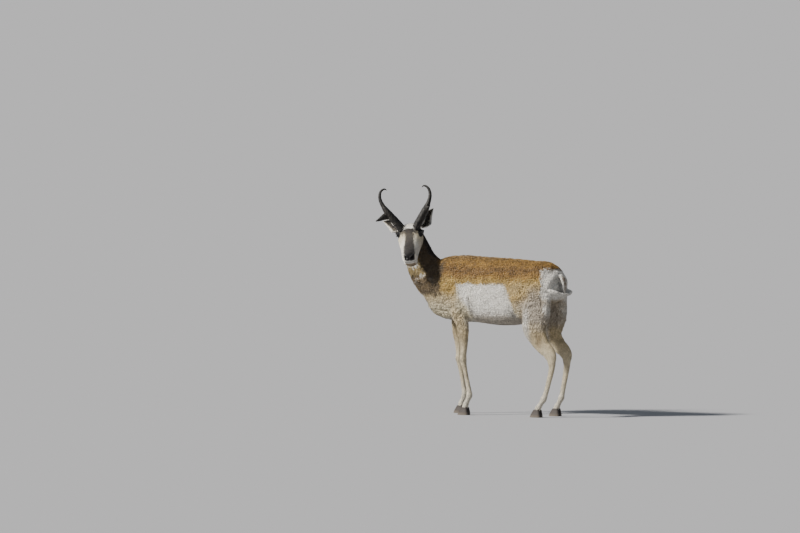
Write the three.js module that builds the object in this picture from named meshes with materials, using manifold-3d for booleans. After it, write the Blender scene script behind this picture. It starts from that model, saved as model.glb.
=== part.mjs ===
// A pronghorn buck, life size, standing with its head turned back over its left side.
// Millimetres, +Z up. The animal faces -Y and its left side is +X.
import * as THREE from 'three';
import { mergeVertices } from 'three/addons/utils/BufferGeometryUtils.js';
import Module from 'manifold-3d';

const wasm = await Module();
wasm.setup();

// Where the middle of the footprint's box lies while the body is being drawn
const MIDDLE = new THREE.Vector3(90, -87, 0);
// The gap that parted pieces keep
const GAP = 0.3;
// Below the coronets the legs end and the claws begin
const CORONET_HEIGHT = 44;

// The head: the point midway between the eyes, its heading, and its tilts
const EYE_MIDPOINT = new THREE.Vector3(180, -471, 1020);
const HEAD_HEADING = THREE.MathUtils.degToRad(33);
const HEAD_PITCH = THREE.MathUtils.degToRad(42);
const HEAD_ROLL = THREE.MathUtils.degToRad(7);
const EYE_RADIUS = 17;
const EYE_SEAT = { x: 0, y: 60, z: 4 };
// The swelling of the bone round each eye
const ORBIT = { x: -4, z: 6, rise: 7, spread: 22 };
const LID_THICKNESS = 2.6;
const MOUTH = { front: 182, corner: 112, height: -50 };
const NOSTRIL = { x: 175, y: 19, z: -14 };
// The horns sit a little to the right of the head's middle, and the left one stands steeper.
const HORN_SEAT = { x: -30, y: 50, z: 36, aside: -4 };
const HORN_LEAN = { left: 0.055, right: -0.01 };
const EAR_SEAT = { x: -60, y: 54, z: -5 };

// Torso rings from the breast to the rump: y, middle x, top z, bottom z, half width
const TORSO_RINGS = [
  [-468, 62, 722, 652, 34],
  [-448, 58, 782, 612, 68],
  [-400, 52, 852, 566, 94],
  [-310, 40, 892, 532, 114],
  [-200, 26, 903, 520, 126],
  [-80, 12, 898, 513, 137],
  [60, 2, 892, 501, 145],
  [180, 0, 889, 511, 138],
  [280, 0, 886, 540, 128],
  [355, 0, 882, 580, 122],
  [405, 0, 838, 615, 113],
  [440, 0, 784, 648, 94],
  [456, 0, 756, 676, 66],
  [463, 0, 732, 700, 26],
];

// Neck rings from inside the chest to the poll: x, y, z, half width, nape side, throat side
const NECK_RINGS = [
  [24, -240, 690, 88, 150, 120],
  [36, -345, 735, 88, 130, 134],
  [48, -425, 800, 78, 102, 124],
  [62, -474, 872, 69, 80, 104],
  [78, -500, 940, 64, 71, 88],
  [98, -514, 1000, 58, 64, 74],
  [122, -508, 1040, 46, 56, 54],
];

// Head rings along the muzzle axis: x, top z, bottom z, half width
const HEAD_RINGS = [
  [-98, -20, -64, 24],
  [-86, 0, -92, 44],
  [-60, 24, -114, 59],
  [-30, 41, -122, 67],
  [0, 42, -121, 69],
  [30, 36, -115, 67],
  [62, 28, -107, 62],
  [95, 22, -100, 55],
  [125, 18, -97, 49],
  [148, 15, -96, 46],
  [165, 8, -91, 42],
  [178, -5, -74, 34],
  [185, -22, -52, 18],
];
// How much narrower the jaw is than the middle of the head
const JAW_TAPER = 0.08;

// Foreleg sections from the shoulder down: half width, front, back
const FORELEG_SIZES = [
  [40, 60, 60],
  [42, 60, 62],
  [36, 50, 58],
  [30, 38, 42],
  [26, 30, 32],
  [21, 24, 24],
  [19, 20, 20],
  [22, 23, 20],
  [18, 18, 18],
  [14, 14, 15],
  [13.5, 13, 15],
  [15, 14, 17],
  [18.5, 17, 20],
  [17, 15, 15],
  [19, 18, 17],
  [20, 20, 19],
];
const LEFT_FORELEG_SPINE = [
  [76, -232, 760],
  [92, -212, 640],
  [97, -180, 560],
  [98, -162, 505],
  [98, -156, 450],
  [97, -152, 400],
  [97, -156, 345],
  [97, -157, 314],
  [97, -153, 285],
  [96, -142, 240],
  [96, -127, 180],
  [96, -119, 142],
  [97, -115, 112],
  [98, -124, 86],
  [99, -136, 62],
  [100, -143, 40],
];
const RIGHT_FORELEG_SPINE = [
  [-52, -300, 760],
  [-66, -305, 640],
  [-68, -315, 560],
  [-66, -317, 505],
  [-64, -315, 450],
  [-63, -309, 400],
  [-62, -304, 345],
  [-62, -304, 314],
  [-62, -300, 285],
  [-63, -292, 240],
  [-64, -280, 180],
  [-65, -273, 142],
  [-66, -269, 112],
  [-67, -278, 86],
  [-68, -290, 62],
  [-69, -297, 40],
];

// Hind leg sections from the hip down: half width, front, back
const HIND_LEG_SIZES = [
  [46, 88, 84],
  [52, 98, 92],
  [50, 96, 88],
  [43, 82, 78],
  [34, 60, 58],
  [27, 46, 48],
  [23, 40, 44],
  [21, 38, 38],
  [18, 27, 27],
  [15, 19, 22],
  [14, 16, 18],
  [15, 15, 18],
  [19, 18, 20],
  [17, 15, 15],
  [19, 18, 17],
  [20, 20, 19],
];
const LEFT_HIND_LEG_SPINE = [
  [60, 330, 770],
  [75, 345, 680],
  [86, 350, 590],
  [91, 340, 510],
  [92, 362, 450],
  [92, 398, 400],
  [91, 430, 372],
  [91, 452, 345],
  [90, 457, 312],
  [90, 455, 272],
  [90, 434, 195],
  [90, 412, 130],
  [90, 400, 104],
  [91, 385, 80],
  [92, 369, 58],
  [93, 359, 40],
];
const RIGHT_HIND_LEG_SPINE = [
  [-60, 330, 770],
  [-75, 345, 680],
  [-86, 342, 590],
  [-91, 325, 510],
  [-92, 334, 450],
  [-92, 372, 400],
  [-91, 408, 372],
  [-91, 428, 345],
  [-90, 431, 312],
  [-90, 428, 272],
  [-90, 413, 195],
  [-90, 398, 130],
  [-90, 391, 104],
  [-91, 378, 80],
  [-92, 364, 58],
  [-93, 355, 40],
];

// Tail sections from inside the rump to the tip: x, y, z, half width, upper side, under side
const TAIL_RINGS = [
  [0, 420, 800, 22, 18, 18],
  [0, 455, 790, 21, 15, 14],
  [0, 474, 764, 22, 12, 12],
  [0, 480, 730, 21, 10, 10],
  [0, 480, 700, 14, 8, 8],
  [0, 478, 682, 4, 4, 4],
];

// Horn spine in the horn's frame (forward, outward, up) with half width across and along
const HORN_BEAM = [
  [0, -12, -24, 23, 29],
  [0, 0, 0, 23, 30],
  [4, 32, 44, 22, 29],
  [6, 63, 88, 19, 27],
  [3, 82, 121, 13, 18],
  [-2, 95, 154, 10.5, 13],
  [-8, 97, 182, 9, 11],
  [-14, 89, 205, 7.5, 9],
  [-19, 74, 216, 6, 7],
  [-23, 64, 216, 4.6, 5.2],
  [-26, 55, 209, 2, 2.4],
];
const LEFT_PRONG = [
  [-2, 48, 70, 16, 24],
  [20, 62, 84, 14, 21],
  [40, 74, 92, 9, 13],
  [58, 84, 96, 3, 4],
];
const RIGHT_PRONG = [
  [-2, 50, 68, 16, 24],
  [18, 80, 62, 14, 19],
  [34, 106, 50, 9, 11],
  [46, 130, 42, 3, 3.5],
];

// Ears: length, widest half width, where they point in the horn's frame, wall at the root
const EAR_LENGTH = 138;
const EAR_HALF_WIDTH = 30;
const EAR_WALL = 3.2;
const LEFT_EAR_WAY = [-0.46, 0.57, 0.67];
const RIGHT_EAR_WAY = [-0.56, 0.76, 0.32];

// Locks: how many rows, then length, width, thickness and how proud they stand, and the body's curve under them
const NAPE_MANE = { rows: 10, size: [80, 28, 9, 1.9], girth: 500 };
const CROWN_TUFT = { rows: 4, size: [38, 16, 8, 1.3], girth: 80 };
const RUMP_FRINGE = { rows: 4, size: [72, 40, 10, 1], girth: 115 };
const TAIL_FRINGE = { rows: 3, size: [52, 22, 7, 1], girth: 200 };
const LOCK_SINK = 11;

// Faces that the rings of torso and neck are turned to
const UP = new THREE.Vector3(0, 0, 1);
const NAPE = new THREE.Vector3(-0.2, 0.6, 0.8);

const SKIN = {
  back: 0xb5763a,
  neck: 0x8d6c4a,
  head: 0xcbb898,
  rump: 0xf0ebe2,
  leg: 0xd9c4a2,
  horn: 0x2b2725,
  hoof: 0x1f1b19,
  ear: 0x8a6d52,
  eye: 0x120d0a,
};

const smooth = (a, b, t) => {
  const u = THREE.MathUtils.clamp((t - a) / (b - a), 0, 1);
  return u * u * (3 - 2 * u);
};

// A table of rings with `steps` more rings drawn between each two by a smooth curve.
function refined(rings, steps) {
  const rows = [];
  const last = rings.length - 1;
  for (let i = 0; i < last; i++) {
    const around = [rings[Math.max(i - 1, 0)], rings[i], rings[i + 1], rings[Math.min(i + 2, last)]];
    for (let k = 0; k < steps; k++) {
      rows.push(rings[i].map((_, c) => curveThrough(...around.map((ring) => ring[c]), k / steps)));
    }
  }
  rows.push(rings[last]);
  return rows;
}

function curveThrough(before, from, to, after, t) {
  const a = 2 * from;
  const b = to - before;
  const c = 2 * before - 5 * from + 4 * to - after;
  const d = 3 * from - before - 3 * to + after;
  return 0.5 * (a + b * t + c * t * t + d * t * t * t);
}

// A closed tube from rings of points, each end closed by a fan round its middle.
function skinOver(loops) {
  const sides = loops[0].length;
  const points = loops.flat();
  const faces = [];
  for (let i = 0; i + 1 < loops.length; i++) {
    for (let j = 0; j < sides; j++) {
      const a = i * sides + j;
      const b = i * sides + ((j + 1) % sides);
      faces.push(a, b, b + sides, a, b + sides, a + sides);
    }
  }
  for (const [row, turned] of [[0, true], [loops.length - 1, false]]) {
    const middle = points.length;
    const sum = loops[row].reduce((total, p) => total.add(p), new THREE.Vector3());
    points.push(sum.divideScalar(sides));
    for (let j = 0; j < sides; j++) {
      const a = row * sides + j;
      const b = row * sides + ((j + 1) % sides);
      faces.push(...(turned ? [b, a, middle] : [a, b, middle]));
    }
  }
  return geometryOf(points, faces);
}

function geometryOf(points, faces) {
  const geometry = new THREE.BufferGeometry();
  geometry.setAttribute('position', new THREE.Float32BufferAttribute(points.flatMap((p) => p.toArray()), 3));
  geometry.setIndex(faces);
  return geometry;
}

// A superellipse: the plain circle's sine or cosine, squared off as `fullness` grows past 2.
const rounded = (value, fullness) => Math.sign(value) * Math.abs(value) ** (2 / fullness);

// The square frame of row i of a spine: its middle, its way along, its face towards `front`, and across.
function frameOf(rows, i, front) {
  const centreOf = (k) => new THREE.Vector3(rows[k][0], rows[k][1], rows[k][2]);
  const way = centreOf(Math.min(i + 1, rows.length - 1)).sub(centreOf(Math.max(i - 1, 0))).normalize();
  const face = front.clone().addScaledVector(way, -front.dot(way)).normalize();
  const across = new THREE.Vector3().crossVectors(way, face);
  return { centre: centreOf(i), way, face, across };
}

// A point of row i's ring, `angle` round from the face.
function ringPoint(rows, i, front, angle, fullness) {
  const { centre, face, across } = frameOf(rows, i, front);
  const c = rounded(Math.cos(angle), fullness);
  const s = rounded(Math.sin(angle), fullness);
  const reach = c > 0 ? rows[i][4] : rows[i][5];
  return centre.addScaledVector(face, reach * c).addScaledVector(across, rows[i][3] * s);
}

// Rings set square to a spine. Each row is x, y, z, half width, reach towards `front`, reach away from it.
function loftAlong(rows, front, sides, fullness = 2) {
  const loops = rows.map((_, i) =>
    Array.from({ length: sides }, (__, j) => ringPoint(rows, i, front, (2 * Math.PI * j) / sides, fullness)),
  );
  return skinOver(loops);
}

// A repeatable draw between -1 and 1.
let drawn = 7;
function varied() {
  drawn = (drawn * 16807) % 2147483647;
  return (2 * drawn) / 2147483647 - 1;
}

// A flat lock: its root sunk below `root`, rising along `out`, then lying along `lie` and bending down with
// the body under it, whose curve has the radius `girth`. It tapers to its tip.
function lockSolid(root, out, lie, [length, width, thick, rise], girth) {
  const stretch = length * (1 + 0.16 * varied());
  const side = new THREE.Vector3().crossVectors(out, lie).normalize();
  const sway = 0.2 * varied();
  const shares = [0, 0.3, 0.68, 1];
  const loops = shares.map((t) => {
    const lift = thick * 0.9 * rise * Math.sin(Math.PI * Math.min(t * 1.1, 1)) - LOCK_SINK * (1 - t) ** 3;
    const bend = (stretch * t) ** 2 / (2 * girth);
    const middle = root
      .clone()
      .addScaledVector(out, lift + 0.45 * thick * t - bend)
      .addScaledVector(lie, stretch * t)
      .addScaledVector(side, sway * stretch * t * t);
    const wide = width * (0.5 - 0.12 * (1 - t) - 0.4 * t ** 2.6);
    const deep = thick * (0.5 - 0.36 * t);
    return [[1, 0], [0, 1], [-1, 0], [0, -1]].map(([a, b]) =>
      middle.clone().addScaledVector(side, a * wide).addScaledVector(out, b * deep),
    );
  });
  return solidOf(skinOver(loops));
}

// A closed geometry as a solid with its faces pointing out.
function solidOf(geometry) {
  const bare = geometry.clone();
  bare.deleteAttribute('normal');
  bare.deleteAttribute('uv');
  const merged = mergeVertices(bare, 1e-4);
  const build = (order) =>
    new wasm.Manifold(
      new wasm.Mesh({
        numProp: 3,
        vertProperties: Float32Array.from(merged.attributes.position.array),
        triVerts: Uint32Array.from(order),
      }),
    );
  const order = Array.from(merged.index.array);
  const made = build(order);
  return made.volume() < 0 ? build(order.reverse()) : made;
}

const joined = (solids) => solids.reduce((sum, solid) => sum.add(solid));

// The largest closed surface of a solid, which drops loose scraps and fills sealed hollows.
function largest(solid) {
  const pieces = solid.decompose();
  pieces.sort((a, b) => b.volume() - a.volume());
  return pieces[0];
}

// A prism from `inner` to `outer` in x under a roof that runs from [y, z] to [y, z], down past the floor.
function legRoom(inner, outer, front, rear, grow = 0) {
  const outline = new THREE.Shape([
    new THREE.Vector2(front[0] - grow, -10),
    new THREE.Vector2(rear[0] + grow, -10),
    new THREE.Vector2(rear[0] + grow, rear[1] + grow),
    new THREE.Vector2(front[0] - grow, front[1] + grow),
  ]);
  const prism = new THREE.ExtrudeGeometry(outline, { depth: Math.abs(outer - inner) + 2 * grow, bevelEnabled: false });
  // The outline's axes become y and z, and the extrusion runs along x.
  prism.applyMatrix4(new THREE.Matrix4().set(0, 0, 1, 0, 1, 0, 0, 0, 0, 1, 0, 0, 0, 0, 0, 1));
  prism.translate(Math.min(inner, outer) - grow, 0, 0);
  return solidOf(prism);
}

// A solid parted by a plane: the side that the normal points to, then the other side.
function partedAt(solid, point, normal) {
  const far = 1500;
  const away = normal.clone().normalize();
  const side = (sign) => {
    const box = new THREE.BoxGeometry(far, far, far);
    const turn = new THREE.Quaternion().setFromUnitVectors(new THREE.Vector3(0, 0, 1), away);
    const middle = point.clone().addScaledVector(away, sign * (far / 2 - GAP / 2));
    box.applyQuaternion(turn);
    box.translate(middle.x, middle.y, middle.z);
    return solidOf(box);
  };
  return [solid.subtract(side(-1)), solid.subtract(side(1))];
}

// The head's frame: x along the muzzle, y to the animal's left, z up from the face
const headFrame = (() => {
  const level = new THREE.Vector3(Math.cos(HEAD_HEADING), Math.sin(HEAD_HEADING), 0);
  const up = new THREE.Vector3(0, 0, 1);
  const muzzle = level.clone().multiplyScalar(Math.cos(HEAD_PITCH)).addScaledVector(up, -Math.sin(HEAD_PITCH));
  const flatLeft = new THREE.Vector3().crossVectors(up, level);
  const brow = new THREE.Vector3().crossVectors(muzzle, flatLeft);
  const left = flatLeft.clone().multiplyScalar(Math.cos(HEAD_ROLL)).addScaledVector(brow, Math.sin(HEAD_ROLL));
  const crown = new THREE.Vector3().crossVectors(muzzle, left);
  return new THREE.Matrix4().makeBasis(muzzle, left, crown).setPosition(EYE_MIDPOINT);
})();

// The horns' frame: x level ahead of the face, y to the animal's left, z up with the head's roll
const hornFrame = (() => {
  const level = new THREE.Vector3(Math.cos(HEAD_HEADING), Math.sin(HEAD_HEADING), 0);
  const left = new THREE.Vector3().setFromMatrixColumn(headFrame, 1);
  const up = new THREE.Vector3().crossVectors(level, left).normalize();
  const squareLeft = new THREE.Vector3().crossVectors(up, level);
  return new THREE.Matrix4().makeBasis(level, squareLeft, up);
})();

const inHead = (x, y, z) => new THREE.Vector3(x, y, z).applyMatrix4(headFrame);

// Torso: upright rings along the back, fuller than an ellipse so that the flanks are flat.
const TORSO_FULLNESS = 2.25;

function torsoRows(steps, grow = 0) {
  return refined(TORSO_RINGS, steps).map(([y, x, top, bottom, wide]) => {
    const middle = bottom + 0.5 * (top - bottom);
    const half = top - middle + grow;
    return [x, y + grow, middle, wide + grow, half, half];
  });
}

function torsoSolid(grow = 0) {
  return solidOf(loftAlong(torsoRows(2, grow), UP, 28, TORSO_FULLNESS));
}

function neckSolid() {
  return solidOf(loftAlong(refined(NECK_RINGS, 2), NAPE, 22));
}

// Mane: three overlapping files of locks down the nape, lying back towards the withers.
function napeMane() {
  const rows = refined(NECK_RINGS, 4);
  const locks = [];
  for (let k = 0; k < NAPE_MANE.rows; k++) {
    const i = rows.length - 4 - Math.round((k * (rows.length - 9)) / (NAPE_MANE.rows - 1));
    const { centre, way } = frameOf(rows, i, NAPE);
    for (const angle of k % 2 ? [-0.2, 0.2] : [0]) {
      const root = ringPoint(rows, i, NAPE, angle, 2);
      const out = root.clone().sub(centre);
      out.addScaledVector(way, -out.dot(way)).normalize();
      const shrink = 1 - 0.3 * (k / NAPE_MANE.rows);
      locks.push(lockSolid(root, out, way.clone().negate(), NAPE_MANE.size.map((v, c) => (c ? v : v * shrink)), NAPE_MANE.girth));
    }
  }
  return joined(locks);
}

// Fringe of the rump patch: long white locks that fall back over the buttocks on either side of the tail.
function rumpFringe() {
  const rows = torsoRows(4);
  const locks = [];
  for (let k = 0; k < RUMP_FRINGE.rows; k++) {
    const i = rows.length - 6 - Math.round(1.7 * (RUMP_FRINGE.rows - 1 - k));
    for (const side of [-1, 1]) {
      for (const [turn, reach] of [[0.7, 1], [1.2, 1], [1.7, 1.1]]) {
        const angle = side * (turn + 0.05 * varied());
        const root = ringPoint(rows, i, UP, angle, TORSO_FULLNESS);
        const out = root.clone().sub(frameOf(rows, i, UP).centre).normalize();
        out.add(new THREE.Vector3(0, 0.35 + 0.12 * k, 0)).normalize();
        const lie = new THREE.Vector3(-0.15 * side, 0.55, -0.8);
        lie.addScaledVector(out, -lie.dot(out)).normalize();
        locks.push(lockSolid(root, out, lie, RUMP_FRINGE.size.map((v, c) => (c ? v : v * reach)), RUMP_FRINGE.girth));
      }
    }
  }
  return joined(locks);
}

// Hair of the tail: locks down its back and sides, past its tip.
function tailFringe() {
  const rows = refined(TAIL_RINGS, 3);
  const front = new THREE.Vector3(0, 1, 0.3);
  const locks = [];
  for (let k = 0; k < TAIL_FRINGE.rows; k++) {
    const i = 6 + Math.round((k * (rows.length - 9)) / (TAIL_FRINGE.rows - 1));
    const { centre, way } = frameOf(rows, i, front);
    for (const angle of k % 2 ? [0] : [-0.8, 0.8]) {
      const root = ringPoint(rows, i, front, angle, 2);
      const out = root.clone().sub(centre).normalize();
      locks.push(lockSolid(root, out, way, TAIL_FRINGE.size, TAIL_FRINGE.girth));
    }
  }
  return joined(locks);
}

// Tuft of the crown: short locks between the horns that fall forward over the brow.
function crownTuft() {
  const locks = [];
  for (let k = 0; k < CROWN_TUFT.rows; k++) {
    for (const y of k % 2 ? [-12, 0, 12] : [-7, 7]) {
      const root = inHead(-52 + 13 * k, y + 2 * varied(), 28 + 5 * k - 0.5 * k * k);
      const out = new THREE.Vector3(0, 0, 1).transformDirection(headFrame);
      const lie = new THREE.Vector3(1, 0.02 * y, -0.12).transformDirection(headFrame);
      locks.push(lockSolid(root, out, lie, CROWN_TUFT.size, CROWN_TUFT.girth));
    }
  }
  return joined(locks);
}

function legSolid(spine, sizes) {
  const rows = spine.map((point, i) => [...point, ...sizes[i]]);
  return solidOf(loftAlong(refined(rows, 1), new THREE.Vector3(0, -1, 0), 16, 2.15));
}

function tailSolid() {
  return solidOf(loftAlong(refined(TAIL_RINGS, 2), new THREE.Vector3(0, 1, 0.3), 12));
}

// Head: rings along the muzzle, narrower under the jaw, swollen round each eye.
function headGeometry(grow = 0) {
  const sides = 28;
  const loops = refined(HEAD_RINGS, 2).map(([x, top, bottom, wide]) => {
    const middle = bottom + 0.56 * (top - bottom);
    return Array.from({ length: sides }, (_, j) => {
      const angle = (2 * Math.PI * j) / sides;
      const up = rounded(Math.cos(angle), 2.2);
      const out = rounded(Math.sin(angle), 2.2);
      const height = (up > 0 ? top - middle : middle - bottom) + grow;
      const shrink = up < 0 ? 1 + JAW_TAPER * up * smooth(-60, 40, x) : 1;
      const z = middle + height * up;
      const near = (x - ORBIT.x) ** 2 + (z - ORBIT.z) ** 2;
      const orbit = ORBIT.rise * Math.exp(-near / (2 * ORBIT.spread ** 2));
      return inHead(x, (wide * shrink + grow + orbit) * out, z);
    });
  });
  return skinOver(loops);
}

// How far out the head's side lies at a given place along the muzzle and height.
function headSide(x, z) {
  const rings = refined(HEAD_RINGS, 8);
  const next = rings.findIndex((ring) => ring[0] >= x);
  const [near, far] = [rings[next - 1], rings[next]];
  const t = (x - near[0]) / (far[0] - near[0]);
  const [top, bottom, wide] = [1, 2, 3].map((k) => THREE.MathUtils.lerp(near[k], far[k], t));
  const middle = bottom + 0.56 * (top - bottom);
  const height = (z - middle) / (z > middle ? top - middle : middle - bottom);
  return wide * Math.max(1 - Math.abs(height) ** 2.2, 0) ** (1 / 2.2);
}

// The line of the mouth: a thin blade that runs round the muzzle from one corner to the other.
function mouthSolid() {
  const rows = [];
  for (let i = 0; i <= 12; i++) {
    const round = -1 + i / 6;
    const x = THREE.MathUtils.lerp(MOUTH.front, MOUTH.corner, round * round);
    const z = MOUTH.height + 5 * (1 - Math.abs(round)) - 9 * Math.abs(round) ** 3;
    const y = Math.sign(round) * headSide(x, z);
    const tall = 1.1 * (1 - Math.abs(round) ** 4) + 0.4;
    rows.push([...inHead(x, y, z).toArray(), tall, 4, 7]);
  }
  return solidOf(loftAcross(rows, inHead(110, 0, MOUTH.height)));
}

// A flat blade whose rows reach out from and in towards one middle point.
function loftAcross(rows, hub) {
  const crown = new THREE.Vector3().setFromMatrixColumn(headFrame, 2);
  const loops = rows.map(([x, y, z, tall, reach, depth]) => {
    const point = new THREE.Vector3(x, y, z);
    const out = point.clone().sub(hub);
    out.addScaledVector(crown, -out.dot(crown)).normalize();
    return [
      point.clone().addScaledVector(out, reach).addScaledVector(crown, tall * 1.6),
      point.clone().addScaledVector(out, -depth),
      point.clone().addScaledVector(out, reach).addScaledVector(crown, -tall * 1.6),
    ];
  });
  return skinOver(loops);
}

// Nostril: a slanting comma-shaped hollow beside the tip of the nose.
function nostrilSolid(side) {
  const hollow = new THREE.SphereGeometry(1, 12, 8);
  hollow.scale(11, 4.2, 6.5);
  hollow.rotateZ(side * -0.75);
  hollow.rotateY(0.35);
  hollow.translate(NOSTRIL.x, side * NOSTRIL.y, NOSTRIL.z);
  hollow.applyMatrix4(headFrame);
  return solidOf(hollow);
}

// The opening between the lids: an almond pushed outward from the middle of the eye.
function lidOpening(side) {
  const half = EYE_RADIUS * 0.9;
  const almond = new THREE.Shape();
  almond.moveTo(-half, 0);
  almond.quadraticCurveTo(-half * 0.1, half * 1.35, half, -1);
  almond.quadraticCurveTo(half * 0.1, -half * 1.1, -half, 0);
  const prism = new THREE.ExtrudeGeometry(almond, { depth: 45, bevelEnabled: false, curveSegments: 5 });
  const out = new THREE.Vector3(0.28, side * 0.95, 0.1).normalize();
  const along = new THREE.Vector3(1, 0, -0.18);
  along.addScaledVector(out, -along.dot(out)).normalize();
  const up = new THREE.Vector3().crossVectors(out, along);
  const place = new THREE.Matrix4().makeBasis(along, up, out).setPosition(EYE_SEAT.x, side * EYE_SEAT.y, EYE_SEAT.z);
  // The seat's own middle stays whole, so the almond starts a little way out.
  prism.translate(0, 0, EYE_RADIUS * 0.35);
  if (up.z < 0) {
    prism.scale(1, -1, 1);
  }
  prism.applyMatrix4(place).applyMatrix4(headFrame);
  return solidOf(prism);
}

function hornSolid(side, prong) {
  const seat = inHead(HORN_SEAT.x, side * HORN_SEAT.y + HORN_SEAT.aside, HORN_SEAT.z);
  const lean = side > 0 ? HORN_LEAN.left : HORN_LEAN.right;
  const place = ([forward, outward, up, across, along]) => {
    const point = new THREE.Vector3(forward, side * (outward - lean * up), up).applyMatrix4(hornFrame).add(seat);
    return [...point.toArray(), across, along, along];
  };
  const level = new THREE.Vector3().setFromMatrixColumn(hornFrame, 0);
  const up = new THREE.Vector3().setFromMatrixColumn(hornFrame, 2);
  const beam = loftAlong(refined(HORN_BEAM.map(place), 2), level, 14);
  const tine = loftAlong(refined(prong.map(place), 2), up, 12);
  return solidOf(beam).add(solidOf(tine));
}

// Ear: a leaf rolled into a cup. Its wall thins from root to tip, and both faces share one grid.
function earSolid(side, way) {
  const rows = 10;
  const columns = 8;
  const root = inHead(EAR_SEAT.x, side * EAR_SEAT.y, EAR_SEAT.z);
  const point = new THREE.Vector3(way[0], side * way[1], way[2]).transformDirection(hornFrame);
  const open = new THREE.Vector3(0.8, side * 0.55, -0.2).transformDirection(hornFrame);
  open.addScaledVector(point, -open.dot(point)).normalize();
  const across = new THREE.Vector3().crossVectors(point, open);
  const face = (inset) => {
    const loops = [];
    for (let i = 0; i <= rows; i++) {
      const u = i / rows;
      const half = EAR_HALF_WIDTH * (0.5 + 0.62 * Math.sin(Math.PI * u ** 0.8)) * (1 - u ** 5) + 1.2;
      const curl = THREE.MathUtils.lerp(2.5, 1.0, smooth(0, 0.75, u));
      const radius = half / Math.sin(Math.min(curl, Math.PI / 2));
      const wall = inset * THREE.MathUtils.lerp(EAR_WALL, 1.2, u);
      const line = [];
      for (let j = 0; j <= columns; j++) {
        const angle = THREE.MathUtils.lerp(-curl, curl, j / columns);
        const reach = radius - wall;
        line.push(
          root
            .clone()
            .addScaledVector(point, EAR_LENGTH * u)
            .addScaledVector(across, reach * Math.sin(angle))
            .addScaledVector(open, radius * 0.6 - reach * Math.cos(angle)),
        );
      }
      loops.push(line);
    }
    return loops;
  };
  // Each ring runs along the outer face and back along the inner one, so the leaf is a closed tube.
  const outer = face(0);
  const inner = face(1);
  return solidOf(skinOver(outer.map((line, i) => [...line, ...inner[i].reverse()])));
}

// Claw: half of the cloven foot, flat below, its wall sloping in to the coronet.
function clawSolid(foot, side) {
  const sides = 12;
  const cleft = 1.6;
  const levels = [
    [0, 46, 27, 22],
    [6, 45, 28, 22.5],
    [20, 37, 26, 22],
    [34, 27, 23, 20.5],
    [CORONET_HEIGHT - GAP, 20, 20, 19.5],
  ];
  const loops = levels.map(([z, toe, heel, wide]) =>
    Array.from({ length: sides }, (_, j) => {
      const angle = (2 * Math.PI * j) / sides;
      const c = rounded(Math.cos(angle), 2.3);
      const s = 0.5 + 0.5 * rounded(Math.sin(angle), 2.6);
      const taper = c > 0 ? 1 - 0.25 * c * c : 1;
      return new THREE.Vector3(
        foot[0] + side * (cleft + (wide - cleft) * s * taper),
        foot[1] - (c > 0 ? toe : heel) * c,
        z,
      );
    }),
  );
  return solidOf(skinOver(loops));
}

function meshOf(name, solid, color, roughness, metalness = 0) {
  const { numProp, vertProperties, triVerts } = largest(solid).getMesh();
  const points = [];
  for (let i = 0; i < vertProperties.length; i += numProp) {
    points.push(new THREE.Vector3(vertProperties[i], vertProperties[i + 1], vertProperties[i + 2]));
  }
  const mesh = new THREE.Mesh(
    geometryOf(points, Array.from(triVerts)),
    new THREE.MeshStandardMaterial({ color, roughness, metalness }),
  );
  mesh.name = name;
  return mesh;
}

const pronghorn = new THREE.Group();
pronghorn.name = 'pronghorn';
pronghorn.position.set(-MIDDLE.x, -MIDDLE.y, 0);

function buildBody() {
  // Each leg: its spine, its sizes, then its room (inner x, outer x, front and rear of the roof) and its middle joint
  const legs = {
    foreleg_left: [LEFT_FORELEG_SPINE, FORELEG_SIZES, [25, 200, [-260, 500], [-60, 500]], 315],
    foreleg_right: [RIGHT_FORELEG_SPINE, FORELEG_SIZES, [15, -180, [-400, 500], [-215, 500]], 315],
    hindleg_left: [LEFT_HIND_LEG_SPINE, HIND_LEG_SIZES, [GAP, 250, [180, 500], [560, 690]], 318],
    hindleg_right: [RIGHT_HIND_LEG_SPINE, HIND_LEG_SIZES, [-GAP, -250, [180, 500], [560, 690]], 318],
  };
  const solids = [torsoSolid(), neckSolid(), napeMane(), rumpFringe()];
  for (const [spine, sizes] of Object.values(legs)) {
    solids.push(legSolid(spine, sizes));
  }
  let body = joined(solids);
  for (const [name, [spine, , room, middle]] of Object.entries(legs)) {
    const leg = body.intersect(legRoom(...room));
    body = body.subtract(legRoom(...room, GAP));
    const down = new THREE.Vector3(0, 0, 1);
    const [shank] = partedAt(leg, new THREE.Vector3(0, 0, CORONET_HEIGHT + GAP / 2), down);
    const [upper, lower] = partedAt(shank, new THREE.Vector3(0, 0, middle), down);
    pronghorn.add(meshOf(`${name}_upper`, upper, SKIN.leg, 0.9));
    pronghorn.add(meshOf(`${name}_lower`, lower, SKIN.leg, 0.9));
    const foot = spine[spine.length - 1];
    pronghorn.add(meshOf(`${name}_claw_left`, clawSolid(foot, 1), SKIN.hoof, 0.5));
    pronghorn.add(meshOf(`${name}_claw_right`, clawSolid(foot, -1), SKIN.hoof, 0.5));
  }
  return body;
}

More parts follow.
